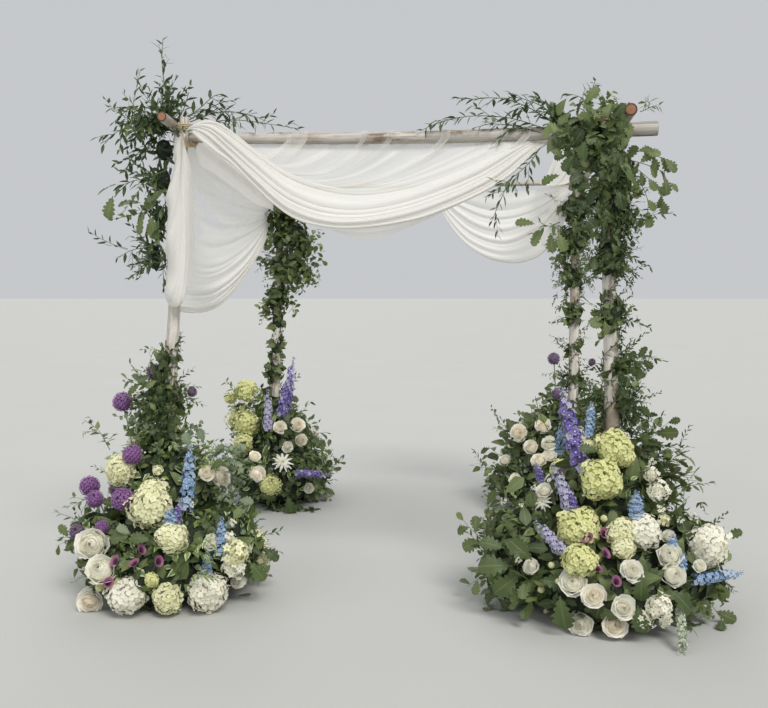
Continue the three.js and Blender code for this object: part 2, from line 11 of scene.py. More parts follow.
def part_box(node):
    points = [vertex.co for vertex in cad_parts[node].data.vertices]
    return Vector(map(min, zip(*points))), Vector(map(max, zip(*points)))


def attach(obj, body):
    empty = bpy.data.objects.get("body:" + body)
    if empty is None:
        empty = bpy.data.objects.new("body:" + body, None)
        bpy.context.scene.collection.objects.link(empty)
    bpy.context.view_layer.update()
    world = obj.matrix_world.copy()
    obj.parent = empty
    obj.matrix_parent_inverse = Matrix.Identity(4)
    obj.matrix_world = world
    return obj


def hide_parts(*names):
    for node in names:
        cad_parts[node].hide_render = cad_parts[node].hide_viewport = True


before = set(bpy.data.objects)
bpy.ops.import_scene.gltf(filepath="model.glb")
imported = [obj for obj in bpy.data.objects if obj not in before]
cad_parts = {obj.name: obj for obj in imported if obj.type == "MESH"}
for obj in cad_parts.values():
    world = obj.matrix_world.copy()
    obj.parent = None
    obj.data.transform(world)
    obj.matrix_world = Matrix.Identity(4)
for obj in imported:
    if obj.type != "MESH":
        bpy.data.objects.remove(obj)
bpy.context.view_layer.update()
rng = np.random.default_rng(20)

TURN = 2 * math.pi
GOLDEN_ANGLE = 2.399963
UPWARD = (0, 0, 1)

# The camera, and what a place in the picture means in the row's frame

PICTURE = (768, 708)
FOCAL = 958.0  # in pixels
SENSOR = 36.0
EYE = np.array([0.64, -6.53, 1.73])
YAW, PITCH = math.radians(7.3), math.radians(-3.8)
AHEAD = np.array([-math.sin(YAW) * math.cos(PITCH), math.cos(YAW) * math.cos(PITCH), math.sin(PITCH)])
RIGHT = np.array([math.cos(YAW), math.sin(YAW), 0.0])
UP = np.cross(RIGHT, AHEAD)
FRONT = -1.2  # the depth, or Y, of the two front posts


def ray(x, y):
    """The unit direction from the eye through a pixel of the picture."""
    way = AHEAD + RIGHT * (x - PICTURE[0] / 2) / FOCAL + UP * (PICTURE[1] / 2 - y) / FOCAL
    return way / np.linalg.norm(way)


def at_depth(x, y, depth):
    """Where the ray through a pixel meets the upright plane at that depth."""
    way = ray(x, y)
    return EYE + way * (depth - EYE[1]) / way[1]


def px(points, depth=FRONT):
    """Places in space for points of the picture, each (x, y) or (x, y, depth)."""
    return np.array([at_depth(*p) if len(p) > 2 else at_depth(*p, depth) for p in points])


def to_picture(points):
    """The pixel at which each point shows."""
    way = points - EYE
    ahead = way @ AHEAD
    return PICTURE[0] / 2 + FOCAL * (way @ RIGHT) / ahead, PICTURE[1] / 2 - FOCAL * (way @ UP) / ahead


cam = bpy.data.objects.new("camera", bpy.data.cameras.new("camera"))
cam.data.sensor_fit = "HORIZONTAL"
cam.data.sensor_width = SENSOR
cam.data.lens = FOCAL / PICTURE[0] * SENSOR
cam.data.clip_end = 200
cam.location = EYE
cam.rotation_euler = (math.pi / 2 + PITCH, 0, YAW)
bpy.context.scene.collection.objects.link(cam)
bpy.context.scene.camera = cam

# Materials


class Nodes:
    """Short names for building one node material."""

    def __init__(self, name):
        self.mat = bpy.data.materials.new(name)
        self.mat.use_nodes = True
        self.tree = self.mat.node_tree
        self.tree.nodes.clear()
        self.out = self.tree.nodes.new("ShaderNodeOutputMaterial")

    def add(self, kind, inputs=None, **settings):
        """A node; inputs, by name or number, are each a socket to link or a value."""
        node = self.tree.nodes.new(kind)
        for key, value in settings.items():
            setattr(node, key, value)
        for key, value in (inputs or {}).items():
            socket = node.inputs[key]
            if isinstance(value, bpy.types.NodeSocket):
                self.tree.links.new(value, socket)
            elif isinstance(value, tuple) and socket.type == "RGBA":
                socket.default_value = (*value, 1)
            else:
                socket.default_value = value
        return node

    def lay(self):
        """The three numbers that each vertex carries, as a vector and one by one."""
        vector = self.add("ShaderNodeAttribute", attribute_name="lay").outputs["Vector"]
        return vector, self.add("ShaderNodeSeparateXYZ", {"Vector": vector}).outputs

    def ramp(self, factor, *stops):
        node = self.add("ShaderNodeValToRGB", {"Fac": factor})
        points = node.color_ramp.elements
        while len(points) < len(stops):
            points.new(0.5)
        for point, (at, colour) in zip(points, stops):
            point.position = at
            point.color = (*colour, 1) if isinstance(colour, tuple) else (colour, colour, colour, 1)
        return node.outputs["Color"]

    def mix(self, factor, a, b):
        return self.add("ShaderNodeMix", {0: factor, 6: a, 7: b}, data_type="RGBA").outputs[2]

    def math(self, operation, a, b=0.0, c=0.0):
        return self.add("ShaderNodeMath", {0: a, 1: b, 2: c}, operation=operation).outputs[0]

    def times(self, a, b):
        return self.math("MULTIPLY", a, b)

    def noise(self, vector, scale, detail=3.0, roughness=0.55, stretch=None):
        if stretch:
            vector = self.add("ShaderNodeMapping", {"Vector": vector, "Scale": stretch}).outputs[0]
        inputs = {"Vector": vector, "Scale": scale, "Detail": detail, "Roughness": roughness}
        return self.add("ShaderNodeTexNoise", inputs).outputs["Fac"]

    def bump(self, height, strength, distance):
        inputs = {"Height": height, "Strength": strength, "Distance": distance}
        return self.add("ShaderNodeBump", inputs).outputs[0]

    def principled(self, **values):
        inputs = {key.replace("_", " "): value for key, value in values.items()}
        return self.add("ShaderNodeBsdfPrincipled", inputs).outputs[0]

    def thin(self, colour, glow, share, **values):
        """A principled surface that also lets light through from behind."""
        front = self.principled(Base_Color=colour, **values)
        behind = self.add("ShaderNodeBsdfTranslucent", {"Color": glow}).outputs[0]
        return self.blend(share, front, behind)

    def blend(self, share, first, second):
        return self.add("ShaderNodeMixShader", {0: share, 1: first, 2: second}).outputs[0]

    def done(self, surface):
        self.tree.links.new(surface, self.out.inputs["Surface"])
        return self.mat


def leaf_material(name, dark, light, rib, gloss=0.42, through=0.28, margin=None):
    m = Nodes(name)
    vector, (tint, along, side) = m.lay()
    edge = m.math("ABSOLUTE", side)
    colour = m.mix(tint, dark, light)
    colour = m.mix(m.times(m.noise(vector, 9.0), 0.35), colour, light)
    ridge = m.math("SUBTRACT", 1.0, m.times(edge, 9.0))
    colour = m.mix(m.times(m.math("MAXIMUM", ridge), 0.55), colour, rib)
    if margin:
        colour = m.mix(m.ramp(edge, (0.45, 0.0), (0.75, 1.0)), colour, margin)
    veins = m.math("SINE", m.times(m.math("SUBTRACT", along, m.times(edge, 0.25)), 60.0))
    return m.done(m.thin(
        colour, m.mix(0.5, colour, light), through,
        Roughness=gloss, Normal=m.bump(veins, 0.25, 0.002), Specular_IOR_Level=0.4,
    ))


def petal_material(name, heart, face, edge, through=0.3, rough=0.6):
    m = Nodes(name)
    vector, (tint, along, _) = m.lay()
    colour = m.ramp(along, (0.0, heart), (0.45, face), (1.0, edge))
    colour = m.mix(m.times(tint, 0.5), colour, heart)
    streak = m.noise(vector, 22.0, 2.0, 0.5, (1.0, 0.4, 4.0))
    colour = m.mix(m.times(streak, 0.18), colour, heart)
    return m.done(m.thin(
        colour, colour, through,
        Roughness=rough, Normal=m.bump(streak, 0.2, 0.002), Sheen_Weight=0.15,
    ))


def wood_material(name, pale, grey, brown, knot):
    m = Nodes(name)
    vector, _ = m.lay()
    grain = m.noise(vector, 60.0, 4.0, 0.6, (1.0, 1.0, 0.05))
    patch = m.noise(vector, 7.0, 4.0, 0.65, (1.0, 1.0, 0.35))
    stain = m.noise(vector, 16.0, 5.0, 0.7, (1.0, 1.0, 0.3))
    crack = m.ramp(m.noise(vector, 110.0, 2.0, 0.5, (1.0, 1.0, 0.03)), (0.30, 1.0), (0.40, 0.0))
    colour = m.mix(m.ramp(grain, (0.3, 0.0), (0.75, 1.0)), pale, grey)
    colour = m.mix(m.ramp(patch, (0.50, 0.0), (0.58, 0.8)), colour, brown)
    colour = m.mix(m.ramp(stain, (0.56, 0.0), (0.66, 0.85)), colour, knot)
    # The cracks are darkened toward the knot brown: painted shade in these recesses.
    colour = m.mix(m.times(crack, 0.5), colour, knot)
    height = m.math("SUBTRACT", m.math("ADD", grain, m.times(patch, 0.6)), crack)
    return m.done(m.principled(Base_Color=colour, Roughness=0.82, Normal=m.bump(height, 0.6, 0.004)))


def cut_end_material():
    """Growth rings round the middle, cracked at the pith and dark at the bark."""
    m = Nodes("cut_end")
    vector, (x, y, z) = m.lay()
    reach = m.math("SQRT", m.math("ADD", m.times(x, x), m.times(y, y)))
    wobble = m.math("ADD", m.times(reach, 1300.0), m.times(m.noise(vector, 40.0), 4.0))
    ring = m.math("MULTIPLY_ADD", m.math("SINE", wobble), 0.5, 0.5)
    colour = m.mix(ring, (0.27, 0.115, 0.058), (0.39, 0.19, 0.10))
    colour = m.mix(m.times(m.noise(vector, 90.0, 4.0), 0.5), colour, (0.16, 0.075, 0.04))
    colour = m.mix(m.ramp(z, (0.02, 1.0), (0.12, 0.0)), colour, (0.10, 0.060, 0.035))
    colour = m.mix(m.ramp(z, (0.68, 0.0), (0.80, 1.0)), colour, (0.060, 0.038, 0.026))
    return m.done(m.principled(Base_Color=colour, Roughness=0.85, Normal=m.bump(ring, 0.3, 0.002)))


def rope_material():
    m = Nodes("rope")
    fibre = m.noise(m.lay()[0], 400.0, 3.0, 0.6)
    colour = m.mix(fibre, (0.36, 0.27, 0.16), (0.66, 0.54, 0.36))
    return m.done(m.principled(Base_Color=colour, Roughness=0.95, Normal=m.bump(fibre, 0.5, 0.002)))


def cloth_material():
    """Sheer voile: the attribute's third number is how much of the light it stops."""
    m = Nodes("sheer_voile")
    vector, (_, _, veil) = m.lay()
    slub = m.noise(vector, 60.0, 2.0, 0.5, (0.06, 1.0, 0.0))
    weave = m.noise(vector, 900.0, 1.0, 0.5, (1.0, 1.0, 0.0))
    colour = m.mix(slub, (0.79, 0.775, 0.735), (0.87, 0.86, 0.83))
    surface = m.thin(colour, (0.86, 0.845, 0.805), 0.40, Roughness=0.75, Sheen_Weight=0.25,
                     Normal=m.bump(weave, 0.12, 0.0006), Specular_IOR_Level=0.25)
    stopped = m.times(veil, m.math("MULTIPLY_ADD", slub, 0.16, 0.92))
    return m.done(m.blend(stopped, m.add("ShaderNodeBsdfTransparent").outputs[0], surface))


# Near-black rough lumps inside the leaf masses: their colour is painted shade of the foliage deep in a mass.
def painted_shade_core_material():
    m = Nodes("inner_foliage_painted_shade")
    where = m.add("ShaderNodeTexCoord").outputs["Object"]
    spots = m.noise(where, 45.0, 5.0, 0.7)
    colour = m.ramp(spots, (0.35, (0.006, 0.011, 0.005)), (0.7, (0.030, 0.050, 0.020)))
    return m.done(m.principled(Base_Color=colour, Roughness=0.9, Normal=m.bump(spots, 1.0, 0.02)))


WOODS = {
    # name, pale, grey, brown, knot
    "birch": (
        "peeled_birch", (0.68, 0.645, 0.585), (0.43, 0.40, 0.36), (0.34, 0.26, 0.19), (0.15, 0.09, 0.05)),
    "rail": (
        "weathered_rail", (0.56, 0.53, 0.48), (0.30, 0.28, 0.25), (0.34, 0.28, 0.22), (0.14, 0.10, 0.07)),
}
LEAVES = {
    # name, dark, light, rib, gloss, light let through, margin
    "ruscus": ("ruscus_leaf", (0.020, 0.039, 0.016), (0.094, 0.142, 0.056), (0.15, 0.20, 0.09), 0.34),
    "oak": ("oak_leaf", (0.034, 0.055, 0.020), (0.190, 0.240, 0.088), (0.27, 0.33, 0.14), 0.44),
    "lobed": ("lobed_leaf", (0.020, 0.037, 0.013), (0.110, 0.158, 0.053), (0.21, 0.27, 0.10)),
    "lime": ("young_leaf", (0.080, 0.140, 0.030), (0.250, 0.330, 0.085), (0.32, 0.40, 0.15), 0.5),
    "edged": ("edged_leaf", (0.110, 0.200, 0.050), (0.240, 0.340, 0.100), (0.30, 0.40, 0.16), 0.5, 0.28,
              (0.62, 0.68, 0.42)),
    "sage": ("sage_leaf", (0.080, 0.122, 0.070), (0.265, 0.325, 0.205), (0.36, 0.42, 0.28), 0.6),
    "stem": ("green_stem", (0.060, 0.100, 0.030), (0.160, 0.200, 0.070), (0.18, 0.22, 0.08), 0.5, 0.05),
    "twig": ("brown_twig", (0.080, 0.060, 0.040), (0.200, 0.160, 0.110), (0.22, 0.18, 0.12), 0.7, 0.02),
}
PETALS = {
    # name, heart, face, edge, light let through, roughness
    "cream": ("cream_petal", (0.66, 0.68, 0.34), (0.88, 0.86, 0.60), (0.95, 0.93, 0.76)),
    "green": ("lime_petal", (0.52, 0.56, 0.18), (0.77, 0.765, 0.38), (0.89, 0.875, 0.57)),
    "white": ("white_petal", (0.85, 0.83, 0.63), (0.96, 0.945, 0.865), (0.975, 0.965, 0.925), 0.45),
    "rose": ("rose_petal", (0.94, 0.85, 0.64), (0.97, 0.935, 0.83), (0.98, 0.96, 0.90), 0.45),
    "purple": ("purple_petal", (0.13, 0.04, 0.17), (0.34, 0.13, 0.40), (0.66, 0.40, 0.72)),
    "faded": ("faded_petal", (0.13, 0.08, 0.15), (0.22, 0.15, 0.25), (0.38, 0.29, 0.41)),
    "blue": ("sky_petal", (0.12, 0.22, 0.44), (0.24, 0.38, 0.62), (0.46, 0.60, 0.78)),
    "sky": ("pale_sky_petal", (0.24, 0.34, 0.52), (0.44, 0.56, 0.72), (0.66, 0.75, 0.86)),
    "woolly": ("woolly_tassel", (0.30, 0.36, 0.25), (0.46, 0.52, 0.39), (0.62, 0.66, 0.53), 0.1, 0.9),
    "violet": ("violet_petal", (0.07, 0.04, 0.25), (0.16, 0.115, 0.42), (0.34, 0.29, 0.60)),
    "lilac": ("lilac_petal", (0.28, 0.25, 0.42), (0.44, 0.42, 0.62), (0.66, 0.65, 0.80)),
    "magenta": ("magenta_petal", (0.06, 0.006, 0.035), (0.13, 0.014, 0.070), (0.30, 0.10, 0.20), 0.10),
    "throat": ("dark_throat", (0.015, 0.002, 0.012), (0.04, 0.004, 0.03), (0.10, 0.012, 0.07), 0.05),
    "heart": ("flower_heart", (0.20, 0.26, 0.05), (0.42, 0.46, 0.12), (0.60, 0.60, 0.24), 0.1),
}
MAT = {
    "cut": cut_end_material(), "rope": rope_material(), "cloth": cloth_material(),
    "core": painted_shade_core_material(),
}
for make, recipes in ((wood_material, WOODS), (leaf_material, LEAVES), (petal_material, PETALS)):
    MAT.update({key: make(*recipe) for key, recipe in recipes.items()})

# Shapes: vertices, triangles, three numbers on each vertex, and a material on each triangle.
# The three numbers are a tint from 0 to 1, how far along the leaf or petal it is, and its side.
# On wood and rope they are the place itself, and on cloth along, across and how dense it is.


class Shape:
    def __init__(self, v, f, a, m):
        self.v, self.f, self.a = np.asarray(v, float), np.asarray(f, int), np.asarray(a, float)
        self.m = np.full(len(self.f), m) if isinstance(m, str) else np.asarray(m)

    def moved(self, turn=None, shift=(0, 0, 0), size=1.0, tint=None):
        """The shape sized, turned, shifted and made lighter or darker, in that order."""
        v, a = self.v * size, self.a
        if turn is not None:
            v = v @ turn.T
        if tint is not None:
            a = a.copy()
            a[:, 0] = np.clip(a[:, 0] + tint, 0, 1)
        return Shape(v + np.asarray(shift), self.f, a, self.m)


def together(shapes):
    """Many shapes as one."""
    start = np.cumsum([0] + [len(s.v) for s in shapes[:-1]])
    faces = [s.f + at for s, at in zip(shapes, start)]
    return Shape(*(np.concatenate(x) for x in (
        [s.v for s in shapes], faces, [s.a for s in shapes], [s.m for s in shapes])))


def surface(points, material, lay, closed=False):
    """A grid of points, shaped (rows, columns, 3), as a shape; lay holds the three numbers."""
    rows, cols = points.shape[:2]
    r, c = np.meshgrid(np.arange(rows - 1), np.arange(cols if closed else cols - 1), indexing="ij")
    a, b = (r * cols + c).ravel(), (r * cols + (c + 1) % cols).ravel()
    d, e = a + cols, b + cols
    faces = np.concatenate([np.stack([a, b, e], 1), np.stack([a, e, d], 1)])
    numbers = np.stack([np.broadcast_to(n, (rows, cols)) for n in lay], 2)
    return Shape(points.reshape(-1, 3), faces, numbers.reshape(-1, 3), material)


def grid(x, y, z):
    """Points whose coordinates are spread to one grid."""
    return np.stack(np.broadcast_arrays(x, y, z), -1)


def circle(count):
    return np.arange(count) * TURN / count


def rings(side, up, angle):
    """Unit circles across a line, one at each of its points."""
    return side[:, None] * np.cos(angle)[:, None] + up[:, None] * np.sin(angle)[:, None]


def globe(rows, cols):
    """Points of a ball of radius 1."""
    theta, phi = np.linspace(0, math.pi, rows)[:, None], circle(cols)
    return grid(np.sin(theta) * np.cos(phi), np.sin(theta) * np.sin(phi), np.cos(theta))


def run_of(line):
    """How far along a line each of its points is."""
    return np.concatenate([[0], np.cumsum(np.linalg.norm(np.diff(line, axis=0), axis=1))])


def resampled(line, run, want):
    return np.stack([np.interp(want, run, line[:, i]) for i in range(3)], 1)


def units(v, extra=0.0):
    """The vectors of an array, each one unit long."""
    return v / (np.linalg.norm(v, axis=-1, keepdims=True) + extra)


def unit(v):
    v = np.asarray(v, float)
    return v / max(np.linalg.norm(v), 1e-9)


def facing(along, up, roll=0.0):
    """A turn that takes +Y to along, and +Z as near to up as it can."""
    y = unit(along)
    x = np.cross(y, up)
    if np.linalg.norm(x) < 1e-4:
        x = np.cross(y, (0.3, 0.1, 1.0))
    x = unit(x)
    z = np.cross(x, y)
    c, s = math.cos(roll), math.sin(roll)
    return np.stack([c * x + s * z, y, c * z - s * x], 1)


def build(name, shapes, slot_name, *replaced):
    """One piece of the scene out of many shapes, standing for the nodes it replaces."""
    whole = together(shapes)
    count = len(whole.f)
    mesh = bpy.data.meshes.new(name)
    mesh.vertices.add(len(whole.v))
    mesh.vertices.foreach_set("co", whole.v.astype(np.float32).ravel())
    mesh.loops.add(count * 3)
    mesh.loops.foreach_set("vertex_index", whole.f.astype(np.int32).ravel())
    mesh.polygons.add(count)
    mesh.polygons.foreach_set("loop_start", np.arange(0, count * 3, 3, dtype=np.int32))
    used = sorted(set(whole.m.tolist()))
    for key in used:
        mesh.materials.append(MAT[key])
    mesh.polygons.foreach_set("material_index", np.array([used.index(k) for k in whole.m], np.int32))
    mesh.polygons.foreach_set("use_smooth", np.ones(count, bool))
    lay = mesh.attributes.new("lay", "FLOAT_VECTOR", "POINT")
    lay.data.foreach_set("vector", whole.a.astype(np.float32).ravel())
    mesh.update(calc_edges=True)
    piece = bpy.data.objects.new(name, mesh)
    bpy.context.scene.collection.objects.link(piece)
    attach(piece, "root")
    if replaced:
        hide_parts(*replaced)
    return piece


# Leaves, petals and twigs. An outline is shares of the length, and the width at each.

LANCE = ([0, 0.1, 0.3, 0.5, 0.75, 0.92, 1], [0.10, 0.50, 0.95, 1.0, 0.66, 0.25, 0.0])
ROUND = ([0, 0.12, 0.35, 0.6, 0.85, 1], [0.12, 0.70, 1.0, 0.98, 0.62, 0.05])
OVATE = ([0, 0.1, 0.3, 0.55, 0.8, 1], [0.10, 0.72, 1.0, 0.82, 0.42, 0.0])
OAK = (
    [0, 0.10, 0.16, 0.22, 0.27, 0.33, 0.39, 0.44, 0.50, 0.57, 0.62, 0.68, 0.75, 0.80, 0.87, 0.94, 1.0],
    [0.06, 0.08, 0.34, 0.40, 0.30, 0.60, 0.66, 0.46, 0.84, 0.94, 0.62, 0.92, 0.90, 0.58, 0.70, 0.52, 0.14],
)
PETAL = ([0, 0.3, 0.65, 0.88, 1], [0.22, 0.62, 1.0, 0.88, 0.35])


def blade(outline, length, width, steps, material, fold, curl, wave, tint):
    """A leaf or petal from its stalk at the origin along +Y, with its upper face to +Z."""
    t = np.array(outline[0]) if outline is OAK else np.linspace(0, 1, steps + 1)
    half = np.interp(t, *outline)[:, None] * width / 2
    bend, gaps = curl * t, np.diff(t, prepend=0.0) * length
    y, z = np.cumsum(gaps * np.cos(bend))[:, None], -np.cumsum(gaps * np.sin(bend))[:, None]
    t, side = t[:, None], np.array([-1.0, 0.0, 1.0])
    z = z + abs(side) * half * fold + side * wave * half * np.sin(t * 9)
    return surface(grid(half * side, y, z), material, (tint, t, side))


def tube(points, radius, sides, material, tint=0.3, taper=0.5):
    """A thin stem along a line of points."""
    points = np.asarray(points, float)
    way = units(np.gradient(points, axis=0), 1e-9)
    side = units(np.cross(way, (0.31, 0.95, 0.07)), 1e-9)
    along = np.linspace(0, 1, len(points))[:, None]
    wide = radius * np.linspace(1, taper, len(points))[:, None, None]
    ring = rings(side, np.cross(side, way), circle(sides))
    return surface(points[:, None] + ring * wide, material, (tint, along, 1.0), closed=True)


def smooth_line(points, count):
    """A centripetal spline through points, as count evenly spread points."""
    p = np.asarray(points, float)
    if len(p) == 2:
        return p[0] + (p[1] - p[0]) * np.linspace(0, 1, count)[:, None]
    p = np.concatenate([[2 * p[0] - p[1]], p, [2 * p[-1] - p[-2]]])
    out = []
    for i in range(1, len(p) - 2):
        four = p[i - 1:i + 3]
        k = [0.0]
        for one, two in zip(four, four[1:]):
            k.append(k[-1] + max(np.linalg.norm(two - one), 1e-6) ** 0.5)
        t = np.linspace(k[1], k[2], 13)[:, None]

        def between(i, j, start, end):
            return (k[j] - t) / (k[j] - k[i]) * start + (t - k[i]) / (k[j] - k[i]) * end

        first = [between(j, j + 1, four[j], four[j + 1]) for j in range(3)]
        second = [between(j, j + 2, first[j], first[j + 1]) for j in range(2)]
        piece = between(1, 2, *second)
        out.append(piece if i == len(p) - 3 else piece[:-1])
    fine = np.concatenate(out)
    run = run_of(fine)
    return resampled(fine, run, np.linspace(0, run[-1], count))


KINDS = {
    # outline, length, width, steps, material, fold, curl, gap along the stem, spread from it
    "ruscus": (LANCE, 0.062, 0.020, 3, "ruscus", 0.25, 0.35, 0.021, 0.75),
    "oak": (OAK, 0.120, 0.082, 16, "oak", 0.14, 0.5, 0.042, 0.95),
    "lobed": (OAK, 0.120, 0.086, 16, "lobed", 0.20, 0.7, 0.042, 0.95),
    "broad": (OVATE, 0.105, 0.060, 4, "oak", 0.2, 0.5, 0.044, 0.9),
    "leafy": (OVATE, 0.066, 0.038, 3, "oak", 0.22, 0.6, 0.026, 0.95),
    "dusty": (OAK, 0.115, 0.084, 16, "sage", 0.18, 0.6, 0.042, 0.95),
    "lime": (OVATE, 0.056, 0.028, 3, "lime", 0.2, 0.4, 0.022, 0.9),
    "edged": (OVATE, 0.066, 0.032, 3, "edged", 0.2, 0.4, 0.024, 0.9),
    "sage": (ROUND, 0.050, 0.043, 3, "sage", 0.12, 0.3, 0.028, 1.05),
    "fine": (LANCE, 0.040, 0.013, 2, "ruscus", 0.2, 0.3, 0.014, 0.7),
}


def leaf(kind, bend, wave, tint):
    *shape, curl, _, _ = KINDS[kind]
    return blade(*shape, curl * bend, wave, tint)


def branch(line, kind, size=1.0, stem=0.0022, bare=0.1, ends=0.55, wood="stem"):
    """Leaves set in turn along a stem, smaller towards its tip."""
    gap, spread = KINDS[kind][-2:]
    run = np.linalg.norm(np.diff(line, axis=0), axis=1).sum()
    count = max(int(run * (1 - bare) / (gap * size)), 2)
    shapes = [tube(line, stem * size, 3, wood)]
    for i in range(count):
        t = bare + (1 - bare) * (i + 0.5) / count
        at = t * (len(line) - 1)
        k = min(int(at), len(line) - 2)
        point = line[k] + (line[k + 1] - line[k]) * (at - k)
        way = unit(line[k + 1] - line[k])
        side = unit(np.cross(way, (0.05, 0.1, 1.0)))
        over = np.cross(side, way)
        angle = (i % 2) * math.pi + rng.uniform(-0.6, 0.6) + 0.35 * i
        out = side * math.cos(angle) + over * math.sin(angle)
        lean = spread * rng.uniform(0.75, 1.25)
        along = unit(way * math.cos(lean) + out * math.sin(lean) + (0, 0, rng.uniform(-0.2, 0.1)))
        scale = size * rng.uniform(0.75, 1.15) * (1 - (1 - ends) * t ** 2)
        one = leaf(kind, rng.uniform(0.2, 1.5), rng.uniform(-0.15, 0.15), rng.uniform(0, 1) ** 1.3)
        shapes.append(one.moved(facing(along, UPWARD, rng.uniform(-0.5, 0.5)), point, scale))
    return together(shapes)


def twig(kind, length, size):
    """A short branch from the origin along +Y."""
    s = np.linspace(0, 1, 4)
    sway = rng.uniform(-0.25, 0.25)
    sag = -abs(rng.normal(0, 0.25)) * length * s ** 2
    return branch(grid(sway * length * s ** 2, length * s, sag), kind, size)


TWIGS = {
    kind: [twig(kind, length * rng.uniform(0.85, 1.2), rng.uniform(0.9, 1.1)) for _ in range(count)]
    for kind, length, count in (
        ("ruscus", 0.24, 7), ("oak", 0.24, 7), ("leafy", 0.20, 6), ("broad", 0.20, 5),
        ("lime", 0.16, 4), ("edged", 0.17, 4), ("sage", 0.20, 5), ("fine", 0.16, 4),
    )
}

# Flowers, each facing +Z from the origin, about one unit in radius unless said otherwise


def golden(count, lowest=-1.0):
    """Directions spread evenly over a ball, down to the height lowest."""
    i = np.arange(count) + 0.5
    z = 1 - (1 - lowest) * i / count
    flat = np.sqrt(1 - z * z)
    return grid(flat * np.cos(i * GOLDEN_ANGLE), flat * np.sin(i * GOLDEN_ANGLE), z)


def kite(length, width, material, tint):
    """A petal of four triangles, along +Y."""
    x, y, z = width / 2, length * 0.58, 0.12 * width
    middle, tip = (0, length * 0.62, -0.05 * length), (0, length, -0.175 * length)
    points = [(0, 0, 0), (-x, y, z), middle, (x, y, z), tip]
    lay = [(tint, 0, 0), (tint, 0.7, -1), (tint, 0.6, 0), (tint, 0.7, 1), (tint, 1, 0)]
    return Shape(points, [(0, 2, 1), (0, 3, 2), (1, 2, 4), (2, 3, 4)], lay, material)


def floret(material, petals, length, width, lift, steps=0, heart=None, heart_size=0.13):
    """A small open flower that faces +Z; with no steps its petals are kites."""
    shapes = []
    for i in range(petals):
        a = TURN * (i + rng.uniform(-0.08, 0.08)) / petals
        out = np.array([math.cos(a), math.sin(a), lift * rng.uniform(0.6, 1.3)])
        tint = rng.uniform(0, 0.5)
        if steps:
            petal = blade(PETAL, length, width, steps, material, 0.15, 0.5, 0.1, tint)
        else:
            petal = kite(length, width, material, tint)
        shapes.append(petal.moved(facing(out, UPWARD)))
    if heart:
        ring = [(math.cos(a), math.sin(a), 0.25) for a in np.arange(5) * 1.2566]
        points = np.array([*ring, (0, 0, 0.8)]) * heart_size * length * 2
        faces = [(i, (i + 1) % 5, 5) for i in range(5)]
        shapes.append(Shape(points, faces, np.tile([0.5, 0.5, 1.0], (6, 1)), heart))
    return together(shapes)


def lump(material, size=0.8, tint=0.35, along=0.4):
    """A closed round core that keeps a flower head from being seen through."""
    return surface(globe(6, 8) * size, material, (tint, along, 0), closed=True)


def head(material, kinds, petal, inside, count, lowest, rough, sink, spread=0.25):
    """A round head of florets, of a few kinds, on a lump."""
    florets = [floret(material, *petal) for _ in range(kinds)]
    shapes = [lump(material, *inside)]
    for way in golden(count, lowest):
        reach = 1 - sink + rng.normal(0, rough)
        face = unit(way + rng.normal(0, spread, 3))
        one = florets[rng.integers(kinds)]
        turn = facing(np.cross(face, rng.normal(0, 1, 3)), face)
        shapes.append(one.moved(turn, way * reach, 1.0, rng.uniform(-0.25, 0.45)))
    return together(shapes)


def hydrangea(material, count=150, petal=0.165):
    """A head that swells and flattens a little, so that no two are perfect balls."""
    shape = head(material, 5, (4, petal, petal * 1.15, 0.22), (0.86,), count, -0.75, 0.05, 0.04)
    (x, y, z), k = shape.v.T, rng.uniform(0, 6, 6)
    wave = (np.sin(2.3 * x + k[0]) * np.sin(2.6 * y + k[1]) + np.sin(3.4 * z + k[2]) * np.sin(2.9 * x + k[3])
            + 0.6 * np.sin(5.2 * y + k[4]) * np.sin(4.7 * z + k[5]))
    shape.v = shape.v * (1 + 0.09 * wave)[:, None] * (1.0, 1.0, 0.9)
    return shape


def allium(material, count=130):
    # The lump takes the darkest heart colour: partly the deep purple at the florets' feet, partly painted
    # shade in the gaps between them.
    return head(material, 4, (5, 0.165, 0.10, 0.45), (0.88, 1.0, 0.0), count, -0.97, 0.025, 0.09, 0.10)


def viburnum():
    return head("green", 4, (5, 0.115, 0.12, 0.3), (0.84,), 110, -0.85, 0.07, 0.04)


def stock(material):
    return head(material, 5, (5, 0.30, 0.27, 0.55, 2, "heart", 0.1), (0.55,), 34, -0.7, 0.12, 0.2, 0.35)


def cup(material="rose", count=25, first=0.13, open_first=38, open_last=80, grow=0.8, low_last=0.16,
        flare=0.3, ruffle=0.03, height=0.62, inside=(0.80, -0.06, 0.5)):
    """Petals wrapped round each other in a spiral, the outer ones lower and more open: a rose."""
    radius, rise, flat = inside
    filled = lump(material, radius, 0.45)
    filled.v = filled.v * (1, 1, flat) + (0, 0, rise)
    shapes = [filled]
    b, a = np.array([0.2, 0.6, 0.88, 1.0])[:, None], np.linspace(-1, 1, 5)
    for i in range(count):
        t = i / (count - 1)
        turn = i * GOLDEN_ANGLE + rng.uniform(-0.15, 0.15)
        reach = (first + (1 - first) * t ** grow) * rng.uniform(0.96, 1.04)
        top = open_first + (open_last - open_first) * t ** 0.9 + rng.uniform(-5, 5)
        low, high = math.radians(128), np.radians(top + (20 + 24 * t) * a ** 2)
        polar = low + (high - low) * b
        lip = flare * t * b ** 6
        wide = reach * (1 + lip + ruffle * np.sin(5 * a + 9 * turn) * b ** 2)
        angle = turn + a * math.radians(105 - 42 * t)
        rise = height - (height - low_last) * t ** 2 - reach * math.cos(math.radians(top))
        flat = wide * np.sin(polar)
        z = rise + wide * np.cos(polar) * (1 - 0.9 * lip)
        points = grid(flat * np.cos(angle), flat * np.sin(angle), z)
        lay = (rng.uniform(0, 0.15) + 0.45 * (1 - t), 0.3 + 0.7 * b, a)
        shapes.append(surface(points, material, lay))
    return together(shapes)


